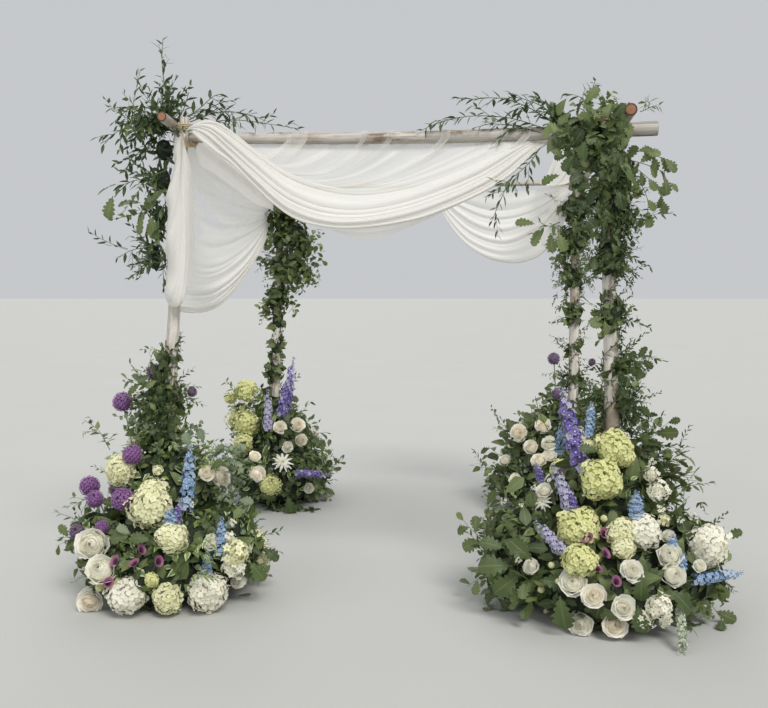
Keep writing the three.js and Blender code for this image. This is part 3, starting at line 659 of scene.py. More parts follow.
def peony():
    return cup("white", 24, 0.16, 30, 70, 0.8, 0.30, 0.24, 0.06, 0.72, (0.84, 0.06, 0.62))


def bud(material):
    return cup(material, 8, 0.3, 2, 18, 0.6, 0.55, 0.1, 0.03, 0.7, (0.3, 0.2, 1.0)).moved(size=0.7)


def calla():
    """A trumpet along +Z with a dark throat, one unit long."""
    b, a = np.linspace(0, 1, 8)[:, None], np.linspace(-math.pi, math.pi, 15)
    wide = 0.07 + 0.36 * b ** 2.2 + 0.12 * b ** 6
    points = grid(wide * np.cos(a), wide * np.sin(a), b + 0.26 * b ** 4 * np.cos(a) - 0.45)
    inner = points[:7] * (0.86, 0.86, 1) - (0, 0, 0.03)
    return together([surface(points, "magenta", (0.1, b, a / math.pi)),
                     surface(inner, "throat", (0.1, b[:7], a / math.pi)),
                     tube([(0, 0, -0.4), (0, 0, 0.32)], 0.05, 6, "throat")])


def spike(material, second=None):
    """A tall flower spike, one unit high from the origin along +Z and about 0.13 across."""
    second = second or material
    tones = (material, material, second, material)
    kinds = [floret(tone, 5, 0.056, 0.050, 0.3, 0, "white", 0.10) for tone in tones]
    tips = [floret(second, 4, 0.030, 0.022, 1.8) for _ in range(3)]
    shapes = [tube([(0, 0, -0.25), (0, 0, 0.97)], 0.012, 5, "stem")]
    florets, buds = 58, 12
    for i in range(florets + buds):
        t = i / (florets + buds)
        is_bud = i >= florets
        angle = i * GOLDEN_ANGLE
        out = np.array([math.cos(angle), math.sin(angle), 0.25])
        reach = (0.03 if is_bud else 0.094) * (1 - 0.45 * t ** 2) * rng.uniform(0.5, 1.25)
        height = t ** 0.95 + rng.normal(0, 0.014)
        one = tips[rng.integers(3)] if is_bud else kinds[rng.integers(4)]
        turn = facing(np.cross(out, (0, 0.2, 1)), unit(out + rng.normal(0, 0.2, 3)))
        size = 1.0 if is_bud else (1.2 - 0.5 * t) * rng.uniform(0.8, 1.2)
        at = (out[0] * reach, out[1] * reach, height)
        shapes.append(one.moved(turn, at, size, rng.uniform(-0.3, 0.6)))
    return together(shapes)


def star():
    """A loose cluster of small blossoms and buds."""
    shapes = []
    for i in range(7):
        angle, reach = i * 2.4, 0.28 + 0.09 * i
        at = (reach * math.cos(angle), reach * math.sin(angle), rng.uniform(-0.2, 0.25))
        face = unit(np.array([at[0] * 0.6, at[1] * 0.6, 1.0]) + rng.normal(0, 0.3, 3))
        blossom = ("white", 5, 0.36, 0.27, 0.3, 0, "heart", 0.16) if i < 5 else ("green", 4, 0.22, 0.12, 2.2)
        one = floret(*blossom)
        turn = facing(np.cross(face, (0.3, 1, 0)), face)
        shapes.append(one.moved(turn, at, rng.uniform(0.8, 1.15), rng.uniform(-0.2, 0.3)))
        shapes.append(tube([(0, 0, -0.9), at], 0.03, 3, "stem"))
    return together(shapes)


def spider():
    """An open shaggy bloom of many narrow petals, as a clematis or a dahlia."""
    return together([floret("white", 11, 1.0, 0.26, 0.25, 2), floret("white", 9, 0.8, 0.24, 0.7, 2),
                     floret("white", 7, 0.5, 0.2, 1.4, 2, "heart", 0.2)])


FLOWERS = {}
for kind, count, make, *given in (
    ("hydrangea_cream", 2, hydrangea, "cream"), ("hydrangea_green", 2, hydrangea, "green"),
    ("hydrangea_white", 2, hydrangea, "white"), ("hydrangea_plain", 1, hydrangea, "green", 80, 0.20),
    ("hydrangea_plain", 1, hydrangea, "cream", 80, 0.20), ("allium_purple", 2, allium, "purple"),
    ("allium_faded", 1, allium, "faded", 90), ("viburnum", 1, viburnum), ("stock_white", 2, stock, "white"),
    ("stock_cream", 1, stock, "cream"), ("rose", 3, cup), ("rose_white", 2, cup, "white"),
    ("peony", 2, peony), ("bud", 1, bud, "rose"), ("bud", 1, bud, "green"), ("green_bud", 1, bud, "green"),
    ("calla", 2, calla), ("spike_blue", 2, spike, "blue", "sky"),
    ("spike_violet", 2, spike, "violet", "lilac"), ("spike_lilac", 2, spike, "lilac"), ("star", 2, star),
    ("spider", 1, spider), ("tuft", 2, floret, "woolly", 5, 1.0, 0.7, 0.9),
):
    FLOWERS.setdefault(kind, []).extend(make(*given) for _ in range(count))
print("templates ready")

# Timber: peeled poles with bumps, knots and rough sawn ends

POSTS = {
    # y, foot x, head x, bow, height, foot radius, head radius
    "front_left_post": (-1.2, -1.375, -1.185, 0.0, 2.71, 0.046, 0.026),
    "front_right_post": (-1.2, 1.248, 1.151, 0.008, 2.64, 0.046, 0.033),
    "back_left_post": (1.2, -1.300, -1.196, 0.006, 2.64, 0.038, 0.027),
    "back_right_post": (1.2, 1.172, 1.182, -0.006, 2.64, 0.045, 0.033),
}
RAILS = {
    # start, end, start radius, end radius, sag
    "front_beam": ((-1.2105, -1.1439, 2.606), (1.44, -1.1254, 2.606), 0.029, 0.040, 0.024),
    "back_beam": ((-1.29, 1.1475, 2.575), (1.31, 1.1443, 2.575), 0.025, 0.022, 0.006),
    "left_beam": ((-1.243, -1.41, 2.68), (-1.258, 1.33, 2.42), 0.028, 0.025, 0.0),
    "right_beam": ((1.278, -1.3, 2.6786), (1.2431, 1.33, 2.6206), 0.034, 0.027, 0.0),
}
LOG_SIDES, LOG_RINGS = 24, 84
# The waves of a pole's skin: how many radians a metre along it, how many times round it, how high
BUMPS = ((5.0, 2, 0.030), (11.0, 3, 0.022), (26.0, 5, 0.012), (55.0, 7, 0.008))
POST_KNOTS, RAIL_KNOTS = 9, 7


def post_at(post, z):
    y, foot, top, bow, height, _, _ = POSTS[post]
    t = z / height
    return np.array([foot + (top - foot) * t + bow * math.sin(math.pi * t), y, z])


def post_radius(post, z):
    height, foot, top = POSTS[post][4:]
    return foot + (top - foot) * z / height


def rail_at(rail, t):
    start, end, _, _, sag = RAILS[rail]
    point = np.array(start) + (np.array(end) - start) * t
    point[2] -= sag * math.sin(math.pi * t)
    return point


def rail_radius(rail, t):
    start, end = RAILS[rail][2:4]
    return start + (end - start) * t


def share_at(rail, axis, value):
    """The share of a rail at which one coordinate has that value."""
    start, end = RAILS[rail][:2]
    return (value - start[axis]) / (end[axis] - start[axis])


def log(node, centre, radius, material, slot_name, knots, upright=False):
    """A pole round a centre line: centre and radius are functions of a share from 0 to 1."""
    shares = np.linspace(0, 1, LOG_RINGS)
    line = np.array([centre(t) for t in shares])
    way = units(np.gradient(line, axis=0))
    if upright:
        side, up = (np.tile(axis, (LOG_RINGS, 1)) for axis in ((1.0, 0.0, 0.0), (0.0, 1.0, 0.0)))
    else:
        side = units(np.cross(way, UPWARD))
        up = np.cross(side, way)
    run, angle = run_of(line), circle(LOG_SIDES)
    wide = np.array([radius(t) for t in shares])[:, None] * np.ones(LOG_SIDES)
    for waves, turns, deep in BUMPS:
        shift = rng.uniform(0, 6.28, 2)
        wide *= 1 + deep * np.sin(waves * run[:, None] + shift[0]) * np.cos(turns * angle + shift[1])
    for _ in range(knots):
        at, face, size = rng.uniform(0.05, 0.95) * run[-1], rng.uniform(0, 6.28), rng.uniform(0.012, 0.022)
        off = np.angle(np.exp(1j * (angle - face))) * radius(0.5)
        far = ((run[:, None] - at) / (1.7 * size)) ** 2 + (off / size) ** 2
        wide += rng.uniform(0.003, 0.007) * np.exp(-far) - 0.004 * np.exp(-4 * far)
    out = rings(side, up, angle)
    x, y = np.cos(angle), np.sin(angle)
    bark = (wide * x, wide * y, run[:, None] + rng.uniform(0, 9))
    shapes = [surface(line[:, None] + out * wide[..., None], material, bark, closed=True)]
    share = np.array([1.0, 0.93, 0.7, 0.45, 0.2, 0.001])[:, None]
    for end, sign in ((0, -1), (-1, 1)):
        # Both cut ends bulge, apart from the foot of a post, which stands flat on the ground
        lift = np.array([0.0, 0.0015, 0.002, 0.002, 0.002, 0.002]) * (not (upright and end == 0))
        disc = line[end] + out[end] * (wide[end] * share)[..., None] + way[end] * sign * lift[:, None, None]
        cap = surface(disc, "cut", (x * wide[end] * share, y * wide[end] * share, share), closed=True)
        cap.f = cap.f[:, ::sign]
        shapes.append(cap)
    build(node + "_wood", shapes, slot_name, node)


for post in POSTS:
    height = POSTS[post][4]
    log(post, lambda t: post_at(post, t * height), lambda t: post_radius(post, t * height),
        "birch", "birch", POST_KNOTS, upright=True)
for rail in RAILS:
    log(rail, lambda t: rail_at(rail, t), lambda t: rail_radius(rail, t), "rail", "rail_wood", RAIL_KNOTS)

# Lashings: several turns of twisted rope side by side round both poles

ROPE = 0.0046  # radius
TWISTS = 55.0  # in a metre
ROPE_STEP = 0.006
TURNS = 4


def strand(ring):
    """A closed twisted rope along a ring of points."""
    loop = np.concatenate([ring, ring[:1]])
    run = run_of(loop)
    want = np.linspace(0, run[-1], max(int(run[-1] / ROPE_STEP), 24), endpoint=False)
    line = resampled(loop, run, want)
    for _ in range(3):
        line = (np.roll(line, 1, 0) + 2 * line + np.roll(line, -1, 0)) / 4
    way = units(np.roll(line, -1, 0) - np.roll(line, 1, 0))
    side = line - line.mean(axis=0)
    side = units(side - way * np.sum(side * way, axis=1, keepdims=True))
    angle = circle(9)
    wide = ROPE * (1 + 0.16 * np.cos(3 * angle + want[:, None] * (round(run[-1] * TWISTS) * TURN / run[-1])))
    points = line[:, None] + rings(side, np.cross(side, way), angle) * wide[..., None]
    points = np.concatenate([points, points[:1]])
    return surface(points, "rope", np.moveaxis(points, 2, 0), closed=True)


for corner in ("front_left", "front_right", "back_left", "back_right"):
    post, rail = corner + "_post", corner.split("_")[0] + "_beam"
    post_x = post_at(post, RAILS[rail][0][2])[0]
    t = share_at(rail, 0, post_x)
    on_rail = rail_at(rail, t)
    on_post = np.array([post_x, POSTS[post][0], on_rail[2]])
    gap = on_rail[1] - on_post[1]
    p, r = (radius + ROPE + 0.001 for radius in (post_radius(post, on_rail[2]), rail_radius(rail, t)))
    front, behind = -np.sign(gap) * p, np.sign(gap) * r
    shapes = []
    for add in np.arange(TURNS) * 2.02 * ROPE:
        wide, high = p + add, r + add
        half = [
            (on_post, wide * 0.8, front * 0.55, high), (on_post, wide, gap * 0.45, high * 0.9),
            (on_rail, wide, behind * 0.6, r * 0.75), (on_rail, wide, behind, 0),
            (on_rail, wide, behind * 0.6, -r * 0.75), (on_post, wide, gap * 0.45, -high * 0.9),
            (on_post, wide * 0.8, front * 0.55, -high),
        ]
        shapes.append(strand(np.array([
            on_post + (0, front, high), *(at + (x, y, z) for at, x, y, z in half),
            on_post + (0, front, -high), *(at + (-x, y, z) for at, x, y, z in reversed(half)),
        ])))
    build(corner + "_lashing_rope", shapes, "rope", corner + "_lashing")

# Cloth. A swag is a family of lines that run along its folds from one tie to the other;
# each line is drawn through points, and the lines between two drawn ones are blended.
# Shares along a line are u, and shares across the cloth are v.

MOST_VEIL = 0.985
PIXEL_AT_BEAM = 0.0053  # how wide a pixel of the picture is at the front beam


def family(keys, shares, rows, cols):
    """Rows of points, one row for each share across the cloth, columns along the folds."""
    lines = [smooth_line(k, cols) for k in keys]
    out = np.empty((rows, cols, 3))
    for i, v in enumerate(np.linspace(0, 1, rows)):
        k = min(int(np.searchsorted(shares, v, side="right")) - 1, len(shares) - 2)
        f = (v - shares[k]) / (shares[k + 1] - shares[k])
        before, a, b, after = (lines[n] for n in (max(k - 1, 0), k, k + 1, min(k + 2, len(lines) - 1)))
        h1, h2 = f ** 3 - 2 * f ** 2 + f, f ** 3 - f ** 2
        bend = (b - before) * 0.5 * h1 + (after - a) * 0.5 * h2
        out[i] = a + (b - a) * (f * f * (3 - 2 * f)) + bend * 0.6
    return out


def drape(keys, shares, size, folds, deep, crease, seed):
    """A sheet through key lines, pushed in and out in folds that run along its rows.

    folds holds (share across, width, height), and deep(u) scales them along the columns.
    Returns the points, how far the folds lift them, and u and v.
    """
    local = np.random.default_rng(seed)
    rows, cols = size
    u, v = np.linspace(0, 1, cols), np.linspace(0, 1, rows)[:, None]
    points = family(keys, shares, rows, cols)
    across, along = np.gradient(points, axis=0), np.gradient(points, axis=1)
    lift, slide = np.zeros(size), np.zeros(size)
    for at, width, height in folds:
        sway = at + 0.25 * width * np.sin(u * local.uniform(2, 7) + local.uniform(0, 6))
        grow = 0.75 + 0.35 * np.sin(u * local.uniform(3, 9) + local.uniform(0, 6))
        x = (v - sway) / width
        lift += height * grow * np.exp(-x * x)
        slide += crease * height * grow * x * np.exp(-x * x)
    push = units(np.cross(across, along), 1e-9) * lift[..., None] + units(across, 1e-9) * slide[..., None]
    return points + push * deep(u)[:, None], lift, u, v


def regular(first, last, count, height, seed, vary=0.35):
    """Folds at nearly even steps, each other one pushed the other way."""
    local = np.random.default_rng(seed)
    step = (last - first) / count
    at = np.linspace(first, last, count) + local.uniform(-vary, vary, count) * (last - first) / count
    return [(a, step * local.uniform(0.22, 0.42), height * local.uniform(0.55, 1.3) * (-1) ** i)
            for i, a in enumerate(at)]


def sheet(points, veil):
    across = np.linspace(0, 1.5, len(points))[:, None]
    return surface(points, "cloth", (run_of(points[len(points) // 2]), across, veil))


def hang(node, points, veil, flat, rests, *more):
    """A piece of cloth; veil is how much of the light each of its points stops."""
    shapes = [sheet(points, np.clip(veil, 0, MOST_VEIL)), *more]
    piece = build(node + "_voile", shapes, "sheer_cloth", node)


def bell(x, middle, width):
    return np.exp(-((x - middle) / width) ** 2)


def ramped(x, start, length):
    """0 before start, 1 after its length, and even between."""
    return np.clip((x - start) / length, 0, 1)


def step_up(x, middle, steep):
    return 1 / (1 + np.exp(-(x - middle) * steep))


def metres(*points):
    return [np.array(p) / 1000 for p in points]


# The folds that reach over the front beam: picture x, width in pixels, how dense
OVER_BEAM = ((300, 22, 0.55), (366, 5, 0.5), (392, 6, 0.45), (447, 9, 0.6), (505, 6, 0.5), (528, 8, 0.7))


def over_beam(pixel, wide, strength):
    """A fold thrown over the front beam from behind, down its face and into the swag."""
    middle = at_depth(pixel, 137, -1.14)[0]
    half = wide * PIXEL_AT_BEAM / 2
    t = share_at("front_beam", 0, middle)
    _, beam_y, beam_z = rail_at("front_beam", t)
    s, k = np.linspace(0, 1, 34), np.arange(15)[:, None]
    out = rail_radius("front_beam", t) + 0.005 + 0.0035 * np.sin(k * 2.4 + pixel)
    loose = 0.42  # the share at which the fold leaves the beam
    turn = np.radians(90) - np.radians(np.interp(s, (0, loose, 1), (-70, 200, 200)))
    y, z = beam_y + out * np.sin(turn), beam_z + out * np.cos(turn)
    free, fall = s > loose, ramped(s, loose, 0.58)
    y = np.where(free, y[:, 14:15] - 0.012 * np.sin(fall * math.pi), y)
    z = np.where(free, beam_z - 0.01 - 0.17 * fall, z)
    x = middle + half * (k / 14 - 0.5) * 2 * (1 + 0.5 * fall) - 0.20 * fall ** 1.3 - 0.02 * s
    veil = strength * (1 - ramped(s, 0.55, 0.45)) * (0.55 + 0.45 * np.abs(np.linspace(-1, 1, 15)))[:, None]
    return sheet(grid(x, y, z), np.clip(veil, 0.0, 0.9))


def front_swag():
    tie = (184.5, 131.5, -1.262)
    keys = [px([tie, *points]) for points in (
        [(196, 124, -1.235), (211, 119.5, -1.17), (226, 130, -1.12), (243, 139, -1.105), (264, 141, -1.105)],
        [(196, 124, -1.25), (212, 120.5, -1.21), (236, 141, -1.17), (262, 156, -1.16), (288, 152, -1.15),
         (312, 141, -1.105)],
        [(196, 124.5, -1.26), (212, 121.5, -1.23), (240, 146, -1.19), (280, 171, -1.18), (320, 173, -1.17),
         (350, 158, -1.15), (368, 141, -1.1)],
        [(196, 125, -1.27), (212, 122.5, -1.25), (240, 147.5, -1.2), (285, 175, -1.19), (333, 186, -1.18),
         (380, 177, -1.17), (420, 158, -1.15), (447, 141, -1.1)],
        [(196, 126, -1.28), (212, 124, -1.27), (236, 138, -1.25), (251, 149, -1.24), (285, 173, -1.225),
         (314, 185, -1.22), (352, 192, -1.215), (392, 189, -1.21), (433, 178, -1.2), (483, 158, -1.19),
         (508, 147, -1.17), (522, 140, -1.1)],
        [(194, 128, -1.29), (206, 131, -1.3), (228, 150, -1.29), (252, 173, -1.28), (288, 203, -1.27),
         (322, 216, -1.265), (358, 218, -1.26), (400, 211, -1.25), (440, 198, -1.24), (488, 176, -1.22),
         (522, 152, -1.19), (541, 140, -1.1)],
        [(191, 131, -1.285), (199, 138, -1.29), (216, 151, -1.28), (235, 164, -1.27), (256, 185, -1.26),
         (277, 205, -1.255), (299, 219.7, -1.25), (335.5, 227.8, -1.25), (371.8, 227, -1.245),
         (417.8, 219, -1.235), (441, 211, -1.23), (482, 192.7, -1.215), (511, 174.3, -1.2),
         (535, 152, -1.17), (550, 141, -1.1)],
        [(190, 132, -1.25), (198, 139, -1.25), (217, 152, -1.24), (240, 166, -1.23), (262, 186, -1.22),
         (290, 209, -1.21), (322, 226, -1.2), (345, 235, -1.2), (366, 239.7, -1.2), (400, 231, -1.19),
         (439.6, 213.5, -1.19), (482, 190, -1.17), (512, 171, -1.16), (536, 150, -1.14), (552, 140, -1.09)],
    )]
    folds = regular(0.42, 0.86, 10, 0.020, 3, 0.6) + regular(0.44, 0.9, 9, 0.005, 7)
    folds += regular(0.05, 0.36, 6, 0.007, 4)
    points, lift, u, v = drape(
        keys, (0, 0.09, 0.2, 0.32, 0.42, 0.66, 0.86, 1.0), (142, 104), folds,
        lambda u: ramped(u, 0, 0.10) * (1 - 0.55 * ramped(u, 0.7, 0.3)), 0.9, 5)
    thin = 0.46  # the veil of the single layer at the top
    creases = ((0.09, 0.016), (0.145, 0.007), (0.2, 0.010), (0.262, 0.006), (0.32, 0.012), (0.37, 0.006))
    veil = thin + 0.49 * step_up(v, 0.40, 60) * (1 - 0.30 * step_up(v, 0.90, 80))
    veil = veil + (0.97 - veil) * bell(u, 0, 0.13)
    for at, wide in creases:
        veil = np.maximum(veil, thin + 0.40 * bell(v, at, wide) * (0.4 + 0.6 * u ** 0.5))
    veil = veil + 0.25 * np.clip(np.abs(lift) / 0.012, 0, 1) * (v < 0.4)
    veil = np.maximum(veil, 0.75 * (v > 0.992))
    over = [over_beam(*fold) for fold in OVER_BEAM]
    hang("front_swag", points, veil, (0.86, 2.5), ["front_beam_wood"], *over)


# Where the left swag is thin enough to see through: picture x, y, half length, half width, turn, depth
THIN_PATCHES = [
    (246, 174, 15, 5.5, 38, 0.42), (234, 180, 14, 3.0, 42, 0.30), (196, 190, 15, 2.6, 62, 0.30),
    (205, 208, 15, 5.0, 55, 0.42), (214, 223, 15, 6.0, 30, 0.42), (228, 205, 17, 3.6, 36, 0.36),
    (240, 192, 14, 3.0, 38, 0.28), (198, 228, 9, 5.0, 75, 0.30), (222, 190, 12, 2.4, 48, 0.26),
    (212, 246, 16, 4.0, 10, 0.20), (206, 262, 14, 3.0, 5, 0.15), (240, 226, 14, 4.0, -40, 0.18),
]


def round_rail(y, angle):
    """A point beside the left rail: angle 0 is its inner side, 90 its top, 180 its outer side."""
    t, a = share_at("left_beam", 1, y), math.radians(angle)
    reach = rail_radius("left_beam", t) + 0.008
    return rail_at("left_beam", t) + (reach * math.cos(a), 0, reach * math.sin(a))


def left_swag():
    stops = (-0.9, -0.6, -0.1, 0.5, 0.9, 1.29)
    start = metres((-1178, -1266, 2600), (-1200, -1266, 2588), (-1236, -1215, 2606), (-1278, -1120, 2645))
    keys = [
        [*start, round_rail(-1.05, 110), round_rail(-0.97, 20),
         *(round_rail(y, 0) + (0.004, 0, -drop * (1 - 0.3 * (y > 0.6))) for y in stops)]
        for drop in (0.13, 0.06, 0.0)
    ]
    keys += [[*start, round_rail(-1.05, 90 + angle / 2), *(round_rail(y, angle) for y in stops)]
             for angle in (45, 90, 135, 180)]
    keys += [[start[0], *metres(*points)] for points in (
        [(-1198, -1275, 2560), (-1228, -1262, 2500), (-1256, -1160, 2495), (-1292, -600, 2480),
         (-1292, 100, 2430), (-1292, 800, 2400), (-1290, 1310, 2390)],
        [(-1192, -1283, 2480), (-1232, -1288, 2340), (-1275, -1268, 2270), (-1312, -1100, 2240),
         (-1325, -600, 2200), (-1325, 0, 2180), (-1315, 750, 2260), (-1297, 1320, 2370)],
        [(-1184, -1285, 2420), (-1222, -1296, 2160), (-1268, -1292, 2020), (-1305, -1210, 1960),
         (-1345, -900, 1920), (-1340, -200, 1890), (-1325, 650, 2080), (-1299, 1325, 2355)],
        [(-1176, -1286, 2400), (-1185, -1300, 2050), (-1218, -1306, 1820), (-1278, -1288, 1720),
         (-1325, -1150, 1690), (-1345, -800, 1680), (-1340, -200, 1700), (-1320, 600, 1930),
         (-1300, 1330, 2340)],
        [(-1158, -1286, 2400), (-1150, -1300, 2050), (-1160, -1310, 1800), (-1198, -1305, 1638),
         (-1262, -1255, 1640), (-1312, -1020, 1608), (-1315, -600, 1588), (-1312, -120, 1652),
         (-1308, 600, 1905), (-1305, 1100, 2155), (-1298, 1335, 2330)],
        [(-1142, -1235, 2420), (-1142, -1175, 2120), (-1146, -1195, 1900), (-1168, -1275, 1700),
         (-1232, -1262, 1640), (-1282, -1020, 1636), (-1283, -580, 1620), (-1283, -100, 1685),
         (-1285, 600, 1935), (-1287, 1100, 2175), (-1289, 1330, 2340)],
    )]
    points, lift, u, v = drape(
        keys, (0, 0.03, 0.05, 0.065, 0.08, 0.095, 0.11, 0.19, 0.37, 0.55, 0.76, 0.9, 1.0), (156, 100),
        regular(0.62, 0.94, 10, 0.020, 11) + regular(0.2, 0.6, 11, 0.013, 12, 0.5),
        lambda u: (0.22 + 0.78 * ramped(u, 0.34, 0.14)) * (1 - 0.7 * ramped(u, 0.75, 0.25)), 0.8, 13)
    veil = 0.87 + 0.05 * step_up(v, 0.72, 22) + 0.05 * np.clip(np.abs(lift) / 0.018, 0, 1)
    veil = veil + (0.95 - veil) * np.exp(-(u / 0.2) ** 4)
    x, y = to_picture(points)
    for at_x, at_y, long, wide, turn, deep in THIN_PATCHES:
        c, s = math.cos(math.radians(turn)), math.sin(math.radians(turn))
        off_x, off_y = x - at_x, y - at_y
        far = ((off_x * c + off_y * s) / long) ** 2 + ((off_y * c - off_x * s) / wide) ** 2
        veil = veil - 1.4 * deep * np.exp(-far ** 1.5) * (v > 0.16)
    veil = veil + 0.25 * bell(u, 1.0, 0.12)
    veil = np.maximum(veil, 0.85 * (v > 0.985) * (u > 0.35))
    before_post = (u < 0.36) & (points[..., 1] < -1.1)
    veil = veil * np.where(before_post, np.clip((201 - x) / 13, 0.12, 1), 1)
    hang("left_swag", points, veil, (1.2, 3.0), ["left_beam_wood"])


def from_back_beam(*lines):
    """Lines of points, in millimetres, each with its depth counted from the back beam."""
    return [np.array(points) / 1000 + (0, 1.15, 0) for points in lines]


def back_swag():
    keys = from_back_beam(
        [(30, 5, 2553), (300, 10, 2525), (600, 15, 2508), (900, 10, 2530), (1100, 0, 2566)],
        [(35, -4, 2550), (240, 20, 2420), (520, 35, 2310), (800, 30, 2350), (1105, -5, 2530)],
        [(40, -8, 2545), (170, 30, 2350), (360, 45, 2170), (620, 50, 2100), (880, 40, 2220),
         (1108, -10, 2470)],
        [(45, -10, 2540), (130, 30, 2335), (221, 45, 2190), (329, 55, 2080), (457, 60, 2000), (586, 60, 1958),
         (721, 60, 1948), (855, 50, 1985), (944, 40, 2050), (1020, 20, 2140), (1110, -12, 2330)],
        [(45, 12, 2540), (140, 60, 2360), (230, 75, 2215), (335, 85, 2105), (460, 90, 2030), (586, 90, 1990),
         (720, 90, 1982), (850, 80, 2020), (940, 70, 2085), (1015, 45, 2170), (1105, 12, 2350)],
    )
    points, lift, u, v = drape(
        keys, (0, 0.28, 0.6, 0.9, 1.0), (110, 80), regular(0.12, 0.9, 12, 0.014, 21),
        lambda u: np.clip(u / 0.2, 0.15, 1) * np.clip((1 - u) / 0.2, 0.3, 1), 0.8, 22)
    veil = 0.62 + 0.3 * bell(v, 0.5, 0.3) + 0.2 * bell(u, 0, 0.1) + 0.2 * bell(u, 1, 0.25)
    veil = veil + 0.3 * np.clip(np.abs(lift) / 0.014, 0, 1) * (1 - veil)
    hang("back_swag", points, veil, (0.6, 1.35), ["back_beam_wood"])


def back_left_swag():
    keys = from_back_beam(
        [(-1120, 0, 2556), (-850, 5, 2548), (-500, 10, 2542), (-200, 5, 2547), (-20, 0, 2553)],
        [(-1125, -5, 2540), (-850, 20, 2470), (-500, 30, 2440), (-220, 20, 2470), (-15, -5, 2548)],
        [(-1128, -8, 2500), (-830, 30, 2365), (-520, 40, 2310), (-240, 30, 2370), (-10, -8, 2540)],
        [(-1128, 10, 2500), (-830, 50, 2380), (-520, 60, 2330), (-240, 50, 2385), (-10, 10, 2540)],
    )
    points, _, u, v = drape(
        keys, (0, 0.4, 0.88, 1.0), (64, 80), regular(0.15, 0.9, 8, 0.012, 31),
        lambda u: np.clip(u / 0.2, 0.15, 1) * np.clip((1 - u) / 0.2, 0.15, 1), 0.8, 32)
    veil = 0.5 + 0.35 * v + 0.25 * bell(u, 0, 0.1) + 0.25 * bell(u, 1, 0.1)
    hang("back_left_swag", points, veil, (0.3, 1.25), ["back_beam_wood"])


def right_drape():
    keys = [metres(*points) for points in (
        [(930, -1090, 2565), (910, -500, 2515), (895, 300, 2500), (890, 1000, 2545), (885, 1130, 2562)],
        [(1020, -1090, 2570), (1000, -500, 2490), (970, 300, 2470), (945, 1000, 2540), (930, 1130, 2563)],
        [(1100, -1090, 2575), (1090, -500, 2505), (1050, 300, 2485), (1010, 1000, 2545), (985, 1130, 2565)],
        [(1185, -1090, 2580), (1185, -500, 2560), (1150, 300, 2540), (1090, 1000, 2555), (1060, 1130, 2567)],
    )]
    points, lift, _, _ = drape(
        keys, (0, 0.35, 0.7, 1.0), (80, 70), regular(0.03, 0.97, 13, 0.013, 41),
        lambda u: 0.5 + 0.5 * np.sin(u * math.pi), 0.8, 42)
    veil = 0.7 + 0.25 * np.clip(np.abs(lift) / 0.012, 0, 1)
    hang("right_drape", points, veil, (0.4, 2.35), ["front_beam_wood", "back_beam_wood"])


front_swag()
left_swag()
back_swag()
back_left_swag()
right_drape()
print("cloth ready")

# Greenery. The masses are filled with twigs that grow out of them; sprays are drawn line by line.

# The most that a twig may reach, inside the size of the real thing
ROOM = np.array([[-1.91, -1.95, -1.0], [1.93, 1.93, 3.22]])
LOWEST = 0.004  # how far leaves stay over the ground
STEM = 0.0026  # radius

# The lumps that each mass is made of: centre and half sizes, in millimetres
LUMPS = {
    "front_left_corner_greenery": [
        (-1320, -1170, 2690, 85, 130, 100), (-1335, -1130, 2540, 85, 140, 120),
        (-1345, -1120, 2370, 75, 120, 130), (-1375, -1100, 2150, 55, 80, 150),
        (-1400, -1110, 1920, 50, 70, 150),
    ],
    "front_right_corner_greenery": [
        (1060, -1180, 2600, 190, 160, 150), (1170, -1190, 2510, 170, 170, 190),
        (1260, -1170, 2380, 120, 140, 120), (1400, -1170, 2310, 95, 95, 120),
        (920, -1150, 2640, 150, 110, 90),
    ],
    "front_left_post_garland": [(-1330, -1200, 1120, 150, 130, 170), (-1300, -1205, 1330, 90, 90, 130)],
    "front_right_post_garland": [
        (1195, -1205, 2180, 140, 130, 190), (1195, -1205, 1900, 125, 115, 190),
        (1205, -1205, 1600, 115, 110, 200), (1225, -1205, 1300, 135, 120, 200),
        (1240, -1210, 1120, 160, 140, 160),
    ],
    "back_left_post_garland": [
        (-1130, 1190, 2380, 210, 160, 150), (-1110, 1195, 2180, 240, 160, 160),
        (-1150, 1200, 1930, 250, 150, 170), (-1230, 1200, 1680, 130, 110, 150),
        (-1235, 1200, 1480, 80, 80, 150), (-1245, 1200, 1260, 75, 75, 150),
        (-1265, 1200, 1060, 100, 95, 150),
    ],
    "back_right_post_garland": [
        (1150, 1200, 2370, 190, 150, 170), (1150, 1200, 2120, 170, 140, 190),
        (1160, 1200, 1830, 140, 120, 200), (1165, 1200, 1540, 115, 110, 200),
        (1165, 1200, 1260, 120, 110, 190), (1165, 1200, 1030, 140, 130, 170),
    ],
    "front_left_bed": [
        (-1280, -1240, 230, 480, 520, 330), (-1310, -1220, 560, 330, 320, 330),
        (-1335, -1200, 850, 190, 180, 250), (-1600, -1380, 260, 190, 200, 230),
        (-960, -1330, 270, 230, 240, 250), (-1300, -1600, 170, 330, 190, 180),
    ],
    "front_right_bed": [
        (1160, -1240, 230, 560, 520, 330), (1200, -1220, 560, 380, 330, 340),
        (1235, -1200, 850, 210, 190, 260), (1560, -1370, 270, 240, 230, 260),
        (760, -1280, 280, 250, 260, 290), (1200, -1600, 170, 380, 190, 180),
    ],
    "back_left_bed": [
        (-1230, 1195, 220, 430, 585, 310), (-1240, 1190, 500, 300, 360, 300),
        (-1270, 1190, 760, 180, 180, 230),
    ],
    "back_right_bed": [
        (1000, 1190, 230, 480, 570, 320), (1040, 1190, 500, 360, 360, 300), (1150, 1190, 740, 180, 180, 220),
    ],
}


